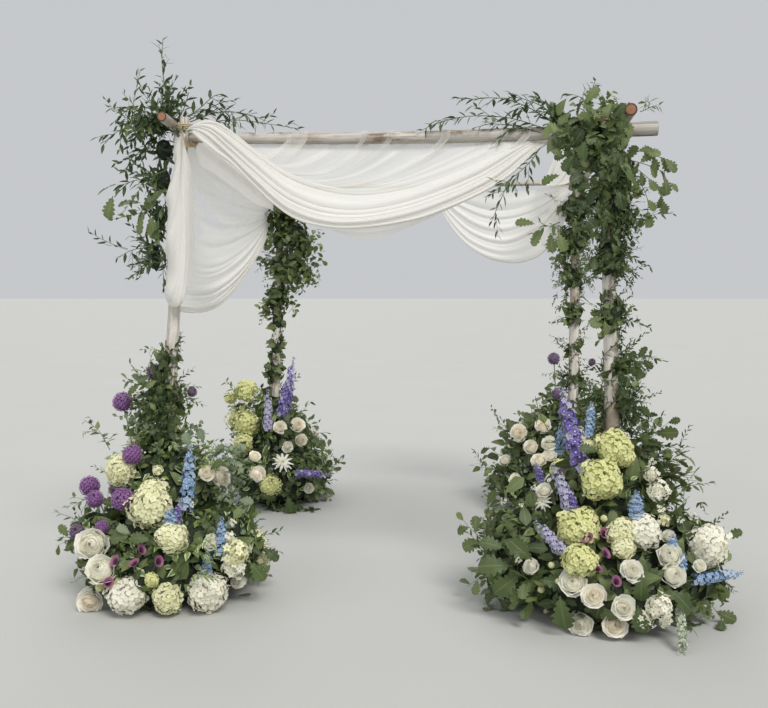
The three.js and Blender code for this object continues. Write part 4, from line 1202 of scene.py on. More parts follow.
def solid(node):
    """The corners of a node's triangles, and a tree for finding where a ray meets them."""
    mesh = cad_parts[node].data
    mesh.calc_loop_triangles()
    points = np.array([tuple(v.co) for v in mesh.vertices])
    faces = np.array([tuple(t.vertices) for t in mesh.loop_triangles])
    return points[faces], BVHTree.FromPolygons(points.tolist(), faces.tolist())


def thick_points(node, count, least):
    """Points spread over the thick parts of a node, with the directions that face out of it."""
    corners, tree = solid(node)
    a, b, c = corners[:, 0], corners[:, 1], corners[:, 2]
    normal = np.cross(b - a, c - a)
    area = np.linalg.norm(normal, axis=1)
    normal = units(normal, 1e-12)
    found = []
    for k in rng.choice(len(corners), size=count * 6, p=area / area.sum()):
        s, t = rng.uniform(0, 1, 2)
        if s + t > 1:
            s, t = 1 - s, 1 - t
        p, n = a[k] + s * (b[k] - a[k]) + t * (c[k] - a[k]), normal[k]
        if p[2] < 0.03 and n[2] < -0.7:
            continue
        hit = tree.ray_cast(Vector(p - n * 0.002), Vector(-n), 2.0)
        if hit[0] is not None and hit[3] >= least:
            found.append((p, n))
            if len(found) == count:
                break
    return found


def in_room(shape):
    return bool((shape.v.min(axis=0) > ROOM[0]).all() and (shape.v.max(axis=0) < ROOM[1]).all())


def above_ground(shape):
    """Lifts what lies under the ground, not all of it to one height."""
    low = shape.v[:, 2] < LOWEST
    shape.v[low, 2] = LOWEST + 0.15 * np.abs(shape.v[low, 2] - LOWEST) % 0.02
    return shape


def hides_a_bloom(shape, discs):
    """Whether a shape stands before a bloom, as seen from the front."""
    for centre, radius in discs:
        way = centre - EYE
        far = np.linalg.norm(way)
        way = way / far
        near = (shape.v - EYE) @ way
        off = np.linalg.norm(shape.v - EYE - near[:, None] * way, axis=1) * far / near
        if ((off < 0.85 * radius) & (near < far + 0.2 * radius)).mean() > 0.04:
            return True
    return False


def fill(node, count, kinds, depth, lift, sizes, least=0.11, keep=lambda p, n: True, discs=(),
         bar=lambda v: False):
    """Twigs over a node's thick parts; kinds maps a kind of twig to its share.

    keep says at which places one may start, and bar which finished ones are left out.
    """
    names, share = list(kinds), np.array(list(kinds.values()), float)
    shapes = []
    for p, n in thick_points(node, count, least):
        if not keep(p, n):
            continue
        kind = names[rng.choice(len(names), p=share / share.sum())]
        out = unit(n + rng.normal(0, 0.55, 3) + (0, 0, lift))
        base = p - n * depth * rng.uniform(0.6, 1.25)
        one = TWIGS[kind][rng.integers(len(TWIGS[kind]))]
        turn = facing(out, n + (0, 0, 0.6), rng.uniform(-0.7, 0.7))
        if base[2] + out[2] * 0.2 < 0.015:
            base[2] = 0.03 + 0.02 * rng.uniform()
            out[2] = abs(out[2]) + 0.1
            turn = facing(unit(out), UPWARD, rng.uniform(-0.5, 0.5))
        size, tint = rng.uniform(*sizes), rng.uniform(-0.3, 0.3)
        shape = one.moved(turn, base, size, tint)
        if not in_room(shape):
            shape = one.moved(turn, base - out * 0.08, size * 0.7, tint)
        if in_room(shape) and not hides_a_bloom(shape, discs) and not bar(shape.v):
            shapes.append(shape)
    return above_ground(together(shapes))


def core(node, shares, thatch, kinds=("leafy",), sizes=(0.7, 1.5)):
    """Dark, rough inner lumps under loose leaves, so that nothing is seen right through a mass; the lumps'
    near-black colour is painted shade of the foliage inside.
    """
    leaves, lumps = [], []
    ball = globe(11, 16)
    for (*centre, rx, ry, rz), share in zip(LUMPS[node], shares):
        if not share:
            continue
        half = np.array([rx, ry, rz]) * share
        for way in golden(int(thatch * (rx + ry + rz) / 600)):
            at = np.array(centre) / 1000 + way * (half / 1000) * 1.02
            if at[2] < 0.02:
                continue
            out = unit(way / (half / 1000))
            along = unit(out * 0.5 + np.cross(out, rng.normal(0, 1, 3)) + (0, 0, 0.2))
            one = leaf(kinds[rng.integers(len(kinds))], 1, 0.1, rng.uniform(-0.3, 0.8))
            leaves.append(one.moved(facing(along, out, rng.uniform(-0.4, 0.4)), at, rng.uniform(*sizes)))
        wobble = 1 + 0.12 * np.prod(np.sin(ball * (7, 6, 8) + centre), axis=2)
        points = (np.array(centre) + ball * wobble[..., None] * half) / 1000
        points[..., 2] = np.maximum(points[..., 2], 0.002)
        lumps.append(surface(points, "core", (0, 0, 0), closed=True))
    return above_ground(together(leaves + lumps))


def spray(points, kind, size=1.0, side_twigs=0, side_length=0.16, wood="stem"):
    """A long branch drawn through points, with shorter twigs along it."""
    line = smooth_line(points, 14)
    shapes = [branch(line, kind, size, STEM, 0.05, 0.6, wood)]
    for i in range(side_twigs):
        t = 0.15 + 0.75 * (i + rng.uniform(0.2, 0.8)) / side_twigs
        k = min(int(t * 13), 12)
        out = unit(unit(line[k + 1] - line[k]) + unit(rng.normal(0, 1, 3)) * 0.9)
        s = np.linspace(0, 1, 5)[:, None]
        length = side_length * rng.uniform(0.7, 1.2) * (1 - 0.4 * t)
        side = line[k] + out * length * s + np.array([0, 0, -0.25 * length]) * s ** 2
        shapes.append(branch(side, kind, size * 0.92, STEM * 0.6, ends=0.6, wood=wood))
    return together(shapes)


def leaf_at(point, along, kind, size, up=(0, -0.6, 0.8)):
    one = leaf(kind, 1, 0.1, rng.uniform(0.2, 0.8))
    return one.moved(facing(unit(along), up, rng.uniform(-0.4, 0.4)), point, size)


def leaves_at(kind, depth, size, forward, rows):
    """Single leaves of a kind: rows of (picture x, picture y, way along x, way along z)."""
    return [leaf_at(at_depth(x, y, depth), (dx, forward, dz), kind, size) for x, y, dx, dz in rows]


def ruscus_sprays(size, rows):
    """Long branches: rows of (size, side twigs, and points of the picture)."""
    return [spray(px(points), "ruscus", own * size, twigs, 0.15) for own, twigs, *points in rows]


def corner_left():
    node = "front_left_corner_greenery"
    parts = [core(node, (0.5,) * 5, 60, ("ruscus",))]
    parts.append(fill(
        node, 150, {"ruscus": 8, "leafy": 2}, 0.11, 0.1, (0.85, 1.25),
        keep=lambda p, n: p[0] < -1.25 and (p[2] > 2.60 or (p[0] < -1.33 and n[0] < 0.3)),
        bar=lambda v: (v[v[:, 2] < 2.57, 0] > -1.35).any()))
    parts += ruscus_sprays(1.25, [
        (1.0, 5, (173, 128, -1.2), (168, 108, -1.22), (165, 88, -1.24), (162, 62, -1.25), (163, 38, -1.25)),
        (1.0, 3, (172, 124, -1.2), (160, 112, -1.22), (150, 100, -1.24), (146, 92, -1.25)),
        (1.1, 4, (168, 128, -1.2), (150, 114, -1.24), (132, 108, -1.26), (112, 124, -1.28)),
        (1.1, 4, (166, 138, -1.2), (140, 128, -1.25), (120, 130, -1.28), (102, 146, -1.3)),
        (1.05, 3, (166, 150, -1.2), (150, 148, -1.22), (132, 158, -1.24), (125, 173, -1.25)),
        (1.1, 3, (166, 170, -1.2), (148, 178, -1.22), (130, 182, -1.24), (116, 195, -1.25)),
        (1.0, 2, (160, 240, -1.16), (150, 246, -1.2), (132, 250, -1.22), (116, 259, -1.22)),
        (1.0, 2, (162, 262, -1.16), (152, 262, -1.2), (142, 258, -1.22), (134, 268, -1.22)),
        (1.15, 1, (178, 120, -1.2), (184, 108, -1.22), (189, 92, -1.22)),
        (1.15, 2, (180, 122), (200, 108), (214, 96), (222, 94)),
        (1.15, 2, (186, 122, -1.18), (206, 110, -1.18), (224, 102, -1.18), (237, 100, -1.18)),
        (1.1, 4, (190, 122, -1.17), (220, 112, -1.17), (246, 114, -1.17), (266, 121, -1.16)),
        (1.0, 4, (200, 124, -1.16), (232, 120, -1.16), (268, 124, -1.16), (300, 129, -1.16)),
        (1.05, 4, (168, 200, -1.17), (160, 212, -1.19), (158, 232, -1.2), (162, 256, -1.2), (164, 290, -1.2)),
    ])
    parts += leaves_at("oak", FRONT, 1.15, -0.15, [
        (145, 211, -0.2, -0.5), (141, 203, -0.8, 0.1), (150, 216, 0.2, -0.8), (150, 205, 0.4, 0.5),
        (118, 184, -0.8, -0.2), (113, 196, -0.3, -0.9), (160, 190, -0.6, -0.6),
    ])
    build("front_left_corner_leaves", parts, "dark_foliage", node)


def corner_right():
    node = "front_right_corner_greenery"
    log_ends = [(rail_at("front_beam", 0.90 + 0.025 * k), 0.055) for k in range(5)]
    log_ends.append((np.array(RAILS["right_beam"][0]), 0.06))

    def outside(v):
        x, y = to_picture(v)
        far_right, over_sprays = (x > 634) & (y > 142), (x < 590) & (y < 116)
        return (far_right | over_sprays | (x < 546) | (y < 92)).any()

    parts = [core(node, (0.5, 0.5, 0.4, 0, 0.2), 100, ("oak", "leafy", "ruscus", "ruscus"), (0.5, 0.95))]
    parts.append(fill(
        node, 290, {"oak": 6, "leafy": 5, "broad": 1, "ruscus": 6}, 0.12, 0.0, (0.55, 0.85),
        keep=lambda p, n: 0.9 < p[0] < 1.32, discs=log_ends, bar=outside))
    parts += ruscus_sprays(1.2, [
        (1.15, 7, (560, 128, -1.18), (530, 108, -1.18), (500, 98, -1.18), (470, 99, -1.18), (455, 97, -1.18)),
        (1.1, 7, (550, 130, -1.17), (510, 118, -1.17), (470, 116, -1.17), (440, 122, -1.17),
         (420, 131, -1.17)),
        (1.2, 4, (560, 125, -1.18), (545, 108, -1.19), (520, 98, -1.19), (508, 97, -1.19)),
        (1.25, 3, (565, 122, -1.18), (550, 105, -1.19), (537, 100, -1.19)),
        (1.1, 4, (540, 132, -1.17), (515, 126, -1.17), (490, 124, -1.17), (474, 128, -1.17)),
        (1.0, 2, (586, 115), (590, 102), (592, 90), (596, 79)),
        (0.95, 2, (584, 115), (584, 104), (583, 95), (586, 88)),
        (0.95, 3, (540, 148, -1.2), (530, 162, -1.28), (512, 178, -1.31), (498, 188, -1.32),
         (488, 198, -1.32)),
        (0.95, 2, (512, 178, -1.31), (504, 192, -1.33), (498, 206, -1.33), (491, 223, -1.33)),
        (1.0, 1, (624, 205, -1.2), (630, 212, -1.22), (629, 224, -1.22), (627, 234, -1.22)),
        (1.0, 1, (560, 222, -1.2), (548, 226, -1.25), (538, 221, -1.26)),
    ])
    for points in (
        [(612, 112, -1.2), (618, 104, -1.2), (614, 98, -1.2)],
        [(600, 116, -1.2), (604, 104, -1.2), (610, 99, -1.2)],
        [(640, 112, -1.16), (648, 108, -1.16), (650, 102, -1.16)],
    ):
        parts.append(spray(px(points), "lime", 1.1, 5, 0.12, "twig"))
    for points in (
        [(630, 150, -1.2), (645, 152, -1.22), (655, 156, -1.22), (664, 158, -1.22)],
        [(630, 160, -1.2), (650, 166, -1.22), (662, 172, -1.22), (668, 182, -1.22)],
        [(632, 165, -1.2), (648, 178, -1.22), (660, 190, -1.22), (662, 200, -1.22)],
        [(632, 170, -1.2), (642, 186, -1.22), (648, 202, -1.22), (647, 216, -1.22)],
    ):
        line = smooth_line(px(points), 10)
        parts.append(tube(line, 0.0024, 4, "twig"))
        for k in (2, 4, 6, 8, 9):
            out = unit(line[k] - line[k - 1]) + rng.normal(0, 0.55, 3) * (1, 0.6, 1)
            parts.append(leaf_at(line[k], out, "oak", rng.uniform(0.62, 0.85), (0, -0.9, 0.4)))
    parts += leaves_at("oak", -1.24, 0.9, -0.2, [
        (543, 229, -0.5, -0.6), (535, 224, -0.9, 0.2), (550, 233, 0.1, -0.9), (558, 233, 0.3, -0.7),
    ])
    parts += leaves_at("lobed", -1.33, 0.9, -0.3, [
        (617, 190, 0.3, -0.8), (600, 150, 0.4, -0.6), (585, 140, -0.2, -0.7), (612, 120, 0.3, 0.6),
        (596, 125, -0.4, 0.5), (575, 155, -0.6, -0.5), (560, 175, -0.9, -0.2), (622, 170, 0.6, -0.4),
    ])
    # The face of the mass, covered leaf by leaf between its left and right edge in the picture
    for y in range(106, 236, 9):
        left = np.interp(y, (106, 122, 140, 175, 236), (572, 551, 556, 570, 576))
        right = np.interp(y, (106, 116, 140, 160, 236), (616, 634, 632, 626, 618))
        for x in np.arange(left, right, 9.5 if y < 140 else 7.0):
            x, low = x + rng.uniform(-4, 4), y + rng.uniform(-4, 4)
            if math.hypot(x - 630, low - 109) < 15:
                continue
            kinds = ("oak", "broad", "lobed", "leafy", "oak")
            if low >= 165:
                kinds = ("leafy", "ruscus", "leafy", "ruscus", "lobed")
            way = (rng.normal(0, 0.7), -0.35, rng.normal(-0.1, 0.7))
            place, kind = at_depth(x, low, -1.29), kinds[rng.integers(5)]
            one = leaf_at(place, way, kind, rng.uniform(0.7, 1.0), (0, -0.8, 0.6))
            # Lighter tints on the upper leaves are painted light on the top of the mass; darker ones lower
            # left are painted shade in its middle.
            painted_light_and_shade = 0.25 if low < 140 else -0.35 if x < 615 else 0.05
            parts.append(one.moved(tint=painted_light_and_shade + rng.uniform(-0.2, 0.2)))
    build("front_right_corner_leaves", parts, "dark_foliage", node)


def post_discs(post, *spans):
    """Discs along the stretches of a post that leaves may not cover, each (centre, radius)."""
    heights = [z for low, high in spans for z in np.arange(low, high, 0.03)]
    return [(post_at(post, z), post_radius(post, z) * 1.3) for z in heights]


def garland(post, count, kinds, low, high, shares, *bare):
    """Leaves wound down a post; where it is bare only a few stand in front of it."""
    node = post + "_garland"
    parts = [core(node, shares, 70)]
    parts.append(fill(node, count, kinds, 0.09, -0.2, (0.5, 0.85), 0.07, discs=post_discs(post, *bare)))
    t = np.linspace(0, 1, 60)
    z = low + (high - low) * t
    for kind, begin, pitch in (("leafy", 0.0, 0.42), ("ruscus", 2.2, 0.3)):
        turn = begin + t * TURN * (high - low) / pitch
        off = np.array([post_radius(post, q) + 0.012 for q in z])
        line = np.array([post_at(post, q) for q in z]) + grid(np.cos(turn) * off, np.sin(turn) * off, 0)
        parts.append(branch(line, kind, 0.8, 0.003, 0.0, 1.0, "twig"))
    build(node + "_leaves", parts, "oak_foliage", node)


corner_left()
corner_right()
garland("front_left_post", 110, {"leafy": 3, "oak": 2, "ruscus": 4}, 0.95, 1.5, (0.45,) * 2)
garland("front_right_post", 400, {"ruscus": 6, "leafy": 3, "oak": 1, "fine": 3}, 1.0, 2.4,
        (0.6, 0.55, 0.45, 0.2, 0.2), (0.9, 1.12), (1.28, 1.42), (1.62, 1.76))
garland("back_left_post", 230, {"oak": 4, "leafy": 3, "broad": 4}, 0.9, 2.45, (0.55,) * 7)
garland("back_right_post", 300, {"ruscus": 5, "leafy": 3, "oak": 1, "fine": 3}, 0.9, 2.4,
        (0.6, 0.55, 0.45, 0.4, 0.2, 0.2), (0.82, 1.05), (1.2, 1.35), (1.55, 1.72))
print("garlands ready")

# Blooms. Those with a solid of their own stand where it stands; the others are set on the
# face of the beds where the photograph shows them.

HEADS = {
    # centre, radius, kind, slot
    "front_left_hydrangea_1": ((-1.305, -1.540, 0.540), 0.118, "hydrangea_cream", "cream_petals"),
    "front_left_hydrangea_2": ((-1.345, -1.760, 0.122), 0.100, "hydrangea_white", "cream_petals"),
    "front_left_hydrangea_3": ((-1.135, -1.730, 0.104), 0.082, "hydrangea_cream", "cream_petals"),
    "front_left_hydrangea_4": ((-0.945, -1.640, 0.118), 0.102, "hydrangea_white", "cream_petals"),
    "front_right_hydrangea_1": ((1.205, -1.400, 0.905), 0.092, "hydrangea_green", "lime_petals"),
    "front_right_hydrangea_2": ((1.130, -1.510, 0.750), 0.105, "hydrangea_green", "lime_petals"),
    "front_right_hydrangea_3": ((1.000, -1.540, 0.495), 0.088, "hydrangea_green", "lime_petals"),
    "front_right_hydrangea_4": ((1.345, -1.560, 0.500), 0.086, "hydrangea_white", "lime_petals"),
    "front_right_hydrangea_5": ((1.680, -1.510, 0.430), 0.098, "hydrangea_white", "lime_petals"),
    "back_left_hydrangea": ((-1.450, 0.960, 0.660), 0.105, "viburnum", "lime_petals"),
}
ALLIUMS = {
    # centre, radius, foot of the stem, kind
    "front_left_allium_1": ((-1.562, -1.250, 1.086), 0.060, (-1.480, -1.290, 0.700), "allium_purple"),
    "front_left_allium_2": ((-1.420, -1.470, 0.818), 0.058, (-1.400, -1.380, 0.660), "allium_purple"),
    "front_left_allium_3": ((-1.755, -1.290, 0.596), 0.062, (-1.640, -1.330, 0.420), "allium_purple"),
    "back_right_allium_1": ((1.008, 1.060, 1.196), 0.052, (1.020, 1.120, 0.700), "allium_faded"),
}
SPIKES = {
    # foot, tip, radius, kind, slot
    "front_left_delphinium": ((-1.120, -1.440, 0.520), (-1.105, -1.400, 0.880),
        0.046, "spike_blue", "violet_petals"),
    "front_right_delphinium_1": ((1.045, -1.370, 0.770), (0.930, -1.290, 1.230),
        0.058, "spike_violet", "violet_petals"),
    "front_right_delphinium_2": ((1.590, -1.600, 0.265), (1.850, -1.580, 0.310),
        0.034, "spike_blue", "blue_petals"),
    "back_left_delphinium": ((-1.140, 1.040, 0.700), (-1.070, 1.080, 1.210),
        0.044, "spike_violet", "violet_petals"),
}
SPIKE_RADIUS = 0.125  # of the template, for a height of 1
WITH_STEM = ("rose", "rose_white", "peony", "bud", "calla", "star")
BED_TREES = {f"{corner}_bed": solid(f"{corner}_bed")[1] for corner in (
    "front_left", "front_right", "back_left", "back_right")}
DISCS = []  # every bloom set so far, (centre, radius), which leaves may not hide


def flower(kind, point, face, size):
    one = FLOWERS[kind][rng.integers(len(FLOWERS[kind]))]
    side = np.cross(face, rng.normal(0, 1, 3))
    return one.moved(facing(side, face), point, size, rng.uniform(-0.1, 0.1))


def tall_flower(kind, foot, tip, radius):
    foot, tip = np.array(foot, float), np.array(tip, float)
    DISCS.extend((foot + (tip - foot) * share, radius) for share in (0.1, 0.35, 0.6, 0.85))
    shape = FLOWERS[kind][rng.integers(len(FLOWERS[kind]))].moved(tint=rng.uniform(-0.1, 0.1))
    z = unit(tip - foot)
    x = unit(np.cross((0.2, 1, 0.1), z))
    wide = radius / SPIKE_RADIUS
    v = shape.v * (wide, wide, np.linalg.norm(tip - foot) * 0.97)
    return Shape(v @ np.stack([x, np.cross(z, x), z]) + foot, shape.f, shape.a, shape.m)


def on_bed(bed, x, y):
    """The place on a bed that shows at a pixel, or the nearest one to it, and where it faces."""
    tree, way = BED_TREES[bed], ray(x, y)
    point, normal, _, _ = tree.ray_cast(Vector(EYE), Vector(way), 30)
    if point is not None:
        return np.array(point), np.array(normal)
    guess = EYE + way * np.linalg.norm(np.array(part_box(bed)).mean(axis=0) - EYE)
    point, normal, _, _ = tree.find_nearest(Vector(guess))
    return EYE + way * np.dot(np.array(point) - EYE, way), np.array(normal)


def unseen(bed, count, kinds):
    """Blooms on the sides of a bed that the photograph doesn't show."""
    shapes = []
    for p, n in thick_points(bed, count * 9, 0.12):
        if len(shapes) >= count:
            break
        far = np.linalg.norm(p - EYE)
        aim = Vector((p - EYE) / far)
        hits = [tree.ray_cast(Vector(EYE), aim, far - 0.22)[0] for tree in BED_TREES.values()]
        if all(hit is None for hit in hits) or p[2] < 0.10:
            continue
        kind, size = kinds[len(shapes) % len(kinds)]
        face = unit(n + (0, 0, 0.35) + rng.normal(0, 0.2, 3))
        one = flower(kind, p + n * size * 0.3, face, size * rng.uniform(0.85, 1.15))
        if in_room(one):
            shapes.append(above_ground(one))
    return shapes


def picture_radius(point, size):
    """Half of a size in pixels, in metres at that point."""
    return size * np.dot(point - EYE, AHEAD) / FOCAL / 2


def plant(bed, tone, slot_name, rows, *hidden):
    """Blooms on a bed: rows of (kind, picture x, picture y, picture size).

    hidden holds (kind, radius) for those on the sides that the photograph doesn't show.
    """
    parts = unseen(bed, 5 * len(hidden), hidden) if hidden else []
    for kind, x, y, size in rows:
        point, normal = on_bed(bed, x, y)
        away = unit(point - EYE)
        radius = picture_radius(point, size)
        face = unit(normal * 0.7 - away * 0.9 + (0, 0, 0.35) + rng.normal(0, 0.18, 3))
        if kind == "calla":
            face = unit(-away * 0.8 + (rng.uniform(-0.8, 0.8), 0, 0.75))
            radius *= 1.4
        centre = point - away * (0.03 + 0.5 * radius)
        centre[1] = max(centre[1], ROOM[0][1] + radius)
        centre[2] = max(centre[2], radius * 0.8 + 0.005)
        DISCS.append((centre, radius))
        parts.append(above_ground(flower(kind, centre, face, radius)))
        if kind in WITH_STEM:
            stem = smooth_line([centre - face * radius * 0.3, centre - face * 0.08 - (0, 0, 0.05)], 4)
            parts.append(above_ground(tube(stem, 0.003, 4, "stem")))
    build(f"{bed}_{tone}_blooms", parts, slot_name)


def plant_tall(bed, tone, slot_name, rows):
    """Tall flowers: rows of (kind, foot x, foot y, tip x, tip y, picture width)."""
    parts = []
    for kind, x0, y0, x1, y1, wide in rows:
        depth = min(on_bed(bed, x0, y0)[0][1], on_bed(bed, x1, y1)[0][1]) - 0.02
        foot, tip = at_depth(x0, y0, depth), at_depth(x1, y1, depth - 0.01)
        parts.append(above_ground(tall_flower(kind, foot, tip, picture_radius(foot, wide))))
    build(f"{bed}_{tone}_blooms", parts, slot_name)


for node, (centre, radius, kind, slot_name) in HEADS.items():
    DISCS.append((np.array(centre), radius))
    face = unit(np.array([0.0, -1.0, 0.7]) if centre[1] < 0 else np.array([-0.3, -0.6, 0.7]))
    build(node + "_petals", [above_ground(flower(kind, centre, face, radius))], slot_name, node)
for node, (centre, radius, foot, kind) in ALLIUMS.items():
    DISCS.append((np.array(centre), radius))
    stem = smooth_line([foot, (np.array(foot) + centre) / 2 + (0.01, 0, 0), centre], 8)
    parts = [flower(kind, centre, UPWARD, radius), tube(stem, 0.0042, 6, "stem", 0.5, 0.9)]
    build(node + "_petals", parts, "purple_petals", node)
for node, (foot, tip, radius, kind, slot_name) in SPIKES.items():
    build(node + "_petals", [tall_flower(kind, foot, tip, radius)], slot_name, node)

plant("front_left_bed", "pale", "cream_petals", [
    ("hydrangea_cream", 121, 470, 30), ("hydrangea_cream", 172.7, 538, 30),
    ("hydrangea_green", 170.6, 601, 20), ("peony", 92, 544, 30), ("peony", 101, 570, 28),
    ("hydrangea_cream", 153, 493, 30), ("rose", 90, 618, 22), ("rose_white", 88, 596, 16),
    ("rose", 221.6, 477, 19), ("rose", 207, 473, 14), ("rose", 256, 474, 14), ("stock_cream", 236, 553, 30),
    ("stock_white", 233, 566, 26), ("rose_white", 211, 542, 14), ("star", 233, 522, 10),
    ("rose_white", 238, 581, 13), ("rose", 255, 456, 11), ("stock_white", 229, 538, 14),
    ("stock_cream", 158, 470, 12), ("bud", 99, 587, 14), ("hydrangea_green", 152, 580, 14),
    ("hydrangea_green", 118, 585, 13), ("star", 192, 505, 8), ("rose_white", 141, 598, 12),
    ("star", 150, 500, 9),
], ("hydrangea_plain", 0.085), ("rose", 0.05), ("peony", 0.06), ("rose_white", 0.05))
plant("front_left_bed", "purple", "purple_petals", [
    ("allium_purple", 95, 499, 18), ("allium_purple", 122.7, 499, 23.5), ("allium_faded", 77, 532, 17),
    ("allium_faded", 192, 392, 11), ("allium_faded", 155, 372, 18), ("allium_purple", 102, 527, 14),
    ("calla", 116.5, 564, 15), ("calla", 140, 552, 14), ("calla", 135, 566, 15),
    ("calla", 156.7, 563.5, 14), ("calla", 107, 585, 13),
], ("allium_purple", 0.055))
plant_tall("front_left_bed", "blue", "blue_petals", [
    ("spike_blue", 170, 532, 171, 506, 15), ("spike_blue", 221, 553, 222, 516, 13),
    ("spike_blue", 206, 582, 208, 550, 14), ("spike_violet", 176, 527, 181, 498, 10),
])
plant("front_right_bed", "pale", "cream_petals", [
    ("hydrangea_green", 579, 528, 40), ("hydrangea_cream", 621, 533, 30), ("hydrangea_cream", 624, 548, 22),
    ("hydrangea_cream", 588, 446, 13), ("hydrangea_green", 623, 456, 22), ("stock_white", 665, 620, 16),
    ("hydrangea_white", 704, 553, 28), ("spider", 542, 502, 20), ("hydrangea_green", 579, 561, 33),
    ("stock_white", 658, 490, 24), ("stock_white", 659, 607, 28), ("stock_white", 644, 620, 22),
    ("rose_white", 573, 583, 24), ("rose", 594, 596, 21), ("rose_white", 581, 624, 23),
    ("rose", 614.6, 625, 22), ("rose_white", 624, 608, 21), ("rose_white", 632, 570, 20),
    ("peony", 670, 555, 22), ("peony", 673, 575, 22), ("star", 503, 501, 10), ("star", 522, 506, 9),
    ("star", 538, 505, 10), ("star", 661, 509, 12), ("rose_white", 668, 536, 12),
    ("stock_white", 651, 474, 17), ("stock_cream", 664, 520, 14), ("rose_white", 544, 490, 15),
    ("star", 548, 478, 12), ("star", 534, 488, 9), ("star", 652, 462, 11), ("rose_white", 531, 566, 14),
    ("bud", 541, 590, 11), ("star", 518, 560, 9), ("star", 680, 520, 10), ("star", 694, 514, 9),
    ("green_bud", 604, 518, 11), ("green_bud", 551, 565, 10), ("green_bud", 558, 581, 10),
    ("green_bud", 546, 626, 9), ("green_bud", 558, 623, 9), ("rose_white", 700, 566, 12),
], ("hydrangea_plain", 0.09), ("rose_white", 0.055), ("rose", 0.05), ("peony", 0.055))
plant("front_right_bed", "purple", "purple_petals", [
    ("calla", 587, 541, 15), ("calla", 603, 536, 14), ("calla", 604, 556, 15), ("calla", 597, 571, 14),
    ("calla", 615, 584, 14), ("allium_faded", 557, 394, 12), ("allium_faded", 592, 362, 8),
], ("allium_purple", 0.05))
plant_tall("front_right_bed", "blue", "blue_petals", [
    ("spike_lilac", 572, 512, 552, 462, 15), ("spike_lilac", 563, 552, 534, 520, 14),
    ("spike_violet", 576, 514, 566, 484, 12), ("spike_blue", 636, 516, 637, 490, 17),
    ("spike_blue", 672, 555, 673, 533, 13), ("spike_blue", 680, 576, 684, 552, 12),
    ("spike_blue", 560, 453, 560, 426, 12), ("spike_blue", 588, 437, 592, 401, 12),
    ("spike_violet", 541, 482, 536, 462, 10),
])
plant("back_left_bed", "pale", "lime_petals", [
    ("hydrangea_green", 246, 391, 22), ("viburnum", 241, 419, 30), ("viburnum", 251, 426, 24),
    ("viburnum", 270.6, 485, 22), ("rose", 280, 427, 12), ("rose", 297.6, 425, 13), ("rose", 301, 440, 11),
    ("spider", 283, 462, 22), ("rose", 258, 474, 14), ("rose_white", 309, 488, 9),
    ("hydrangea_green", 231, 398, 12), ("rose_white", 288, 447, 10),
], ("hydrangea_plain", 0.09), ("rose", 0.05), ("rose_white", 0.055))
plant_tall("back_left_bed", "violet", "violet_petals", [
    ("spike_lilac", 268, 430, 268, 388, 10), ("spike_violet", 296, 473, 331, 475, 10),
    ("spike_violet", 280, 415, 290, 372, 10),
])
plant("back_right_bed", "pale", "cream_petals", [
    ("rose", 518.5, 433, 15), ("rose", 543, 425.6, 14), ("rose", 530.6, 447, 13),
    ("rose_white", 549, 443.6, 13), ("rose_white", 549.5, 455, 13), ("rose", 539, 460, 14),
    ("rose_white", 504.6, 460, 12), ("hydrangea_green", 560, 470, 20), ("rose", 515, 480, 12),
], ("hydrangea_plain", 0.09), ("rose", 0.05), ("rose_white", 0.055))

TASSEL_LINE = [(1.50, -1.74, 0.16), (1.49, -1.86, 0.10), (1.485, -1.92, 0.04), (1.48, -1.935, 0.02)]
TASSEL_POINTS, TUFTS = 40, 170
hanging = smooth_line(TASSEL_LINE, TASSEL_POINTS)
tassel = [tube(hanging, 0.004, 5, "stem", 0.6)]
for _ in range(TUFTS):
    at = hanging[rng.integers(2, TASSEL_POINTS)]
    tuft = FLOWERS["tuft"][rng.integers(2)]
    off = rng.normal(0, 1, 3)
    turn = facing(np.cross(off, (0.1, 0.2, 1)), off)
    tassel.append(tuft.moved(turn, at + unit(off) * 0.016, 0.013, rng.uniform(-0.3, 0.3)))
build("front_right_bed_tassel", [above_ground(together(tassel))], "lime_petals")
print("blooms ready")

# Beds. Twigs for each: how many, the share of each kind, and how far each core fills its lump

BEDS = {
    "front_left_bed": (
        430, {"leafy": 3, "oak": 2, "broad": 2, "sage": 4, "lime": 3, "edged": 5, "ruscus": 2},
        (0.84, 0.76, 0.25, 0.84, 0.84, 0.84)),
    "front_right_bed": (
        470, {"leafy": 4, "oak": 4, "broad": 3, "sage": 1, "lime": 1, "edged": 1, "ruscus": 5, "fine": 1},
        (0.84, 0.76, 0.2, 0.84, 0.84, 0.84)),
    "back_left_bed": (
        290, {"leafy": 4, "oak": 3, "broad": 1, "sage": 1, "lime": 3, "edged": 1, "ruscus": 2},
        (0.84, 0.8, 0.3)),
    "back_right_bed": (
        290, {"leafy": 4, "oak": 3, "broad": 1, "sage": 2, "lime": 1, "edged": 1, "ruscus": 2},
        (0.84, 0.8, 0.3)),
}
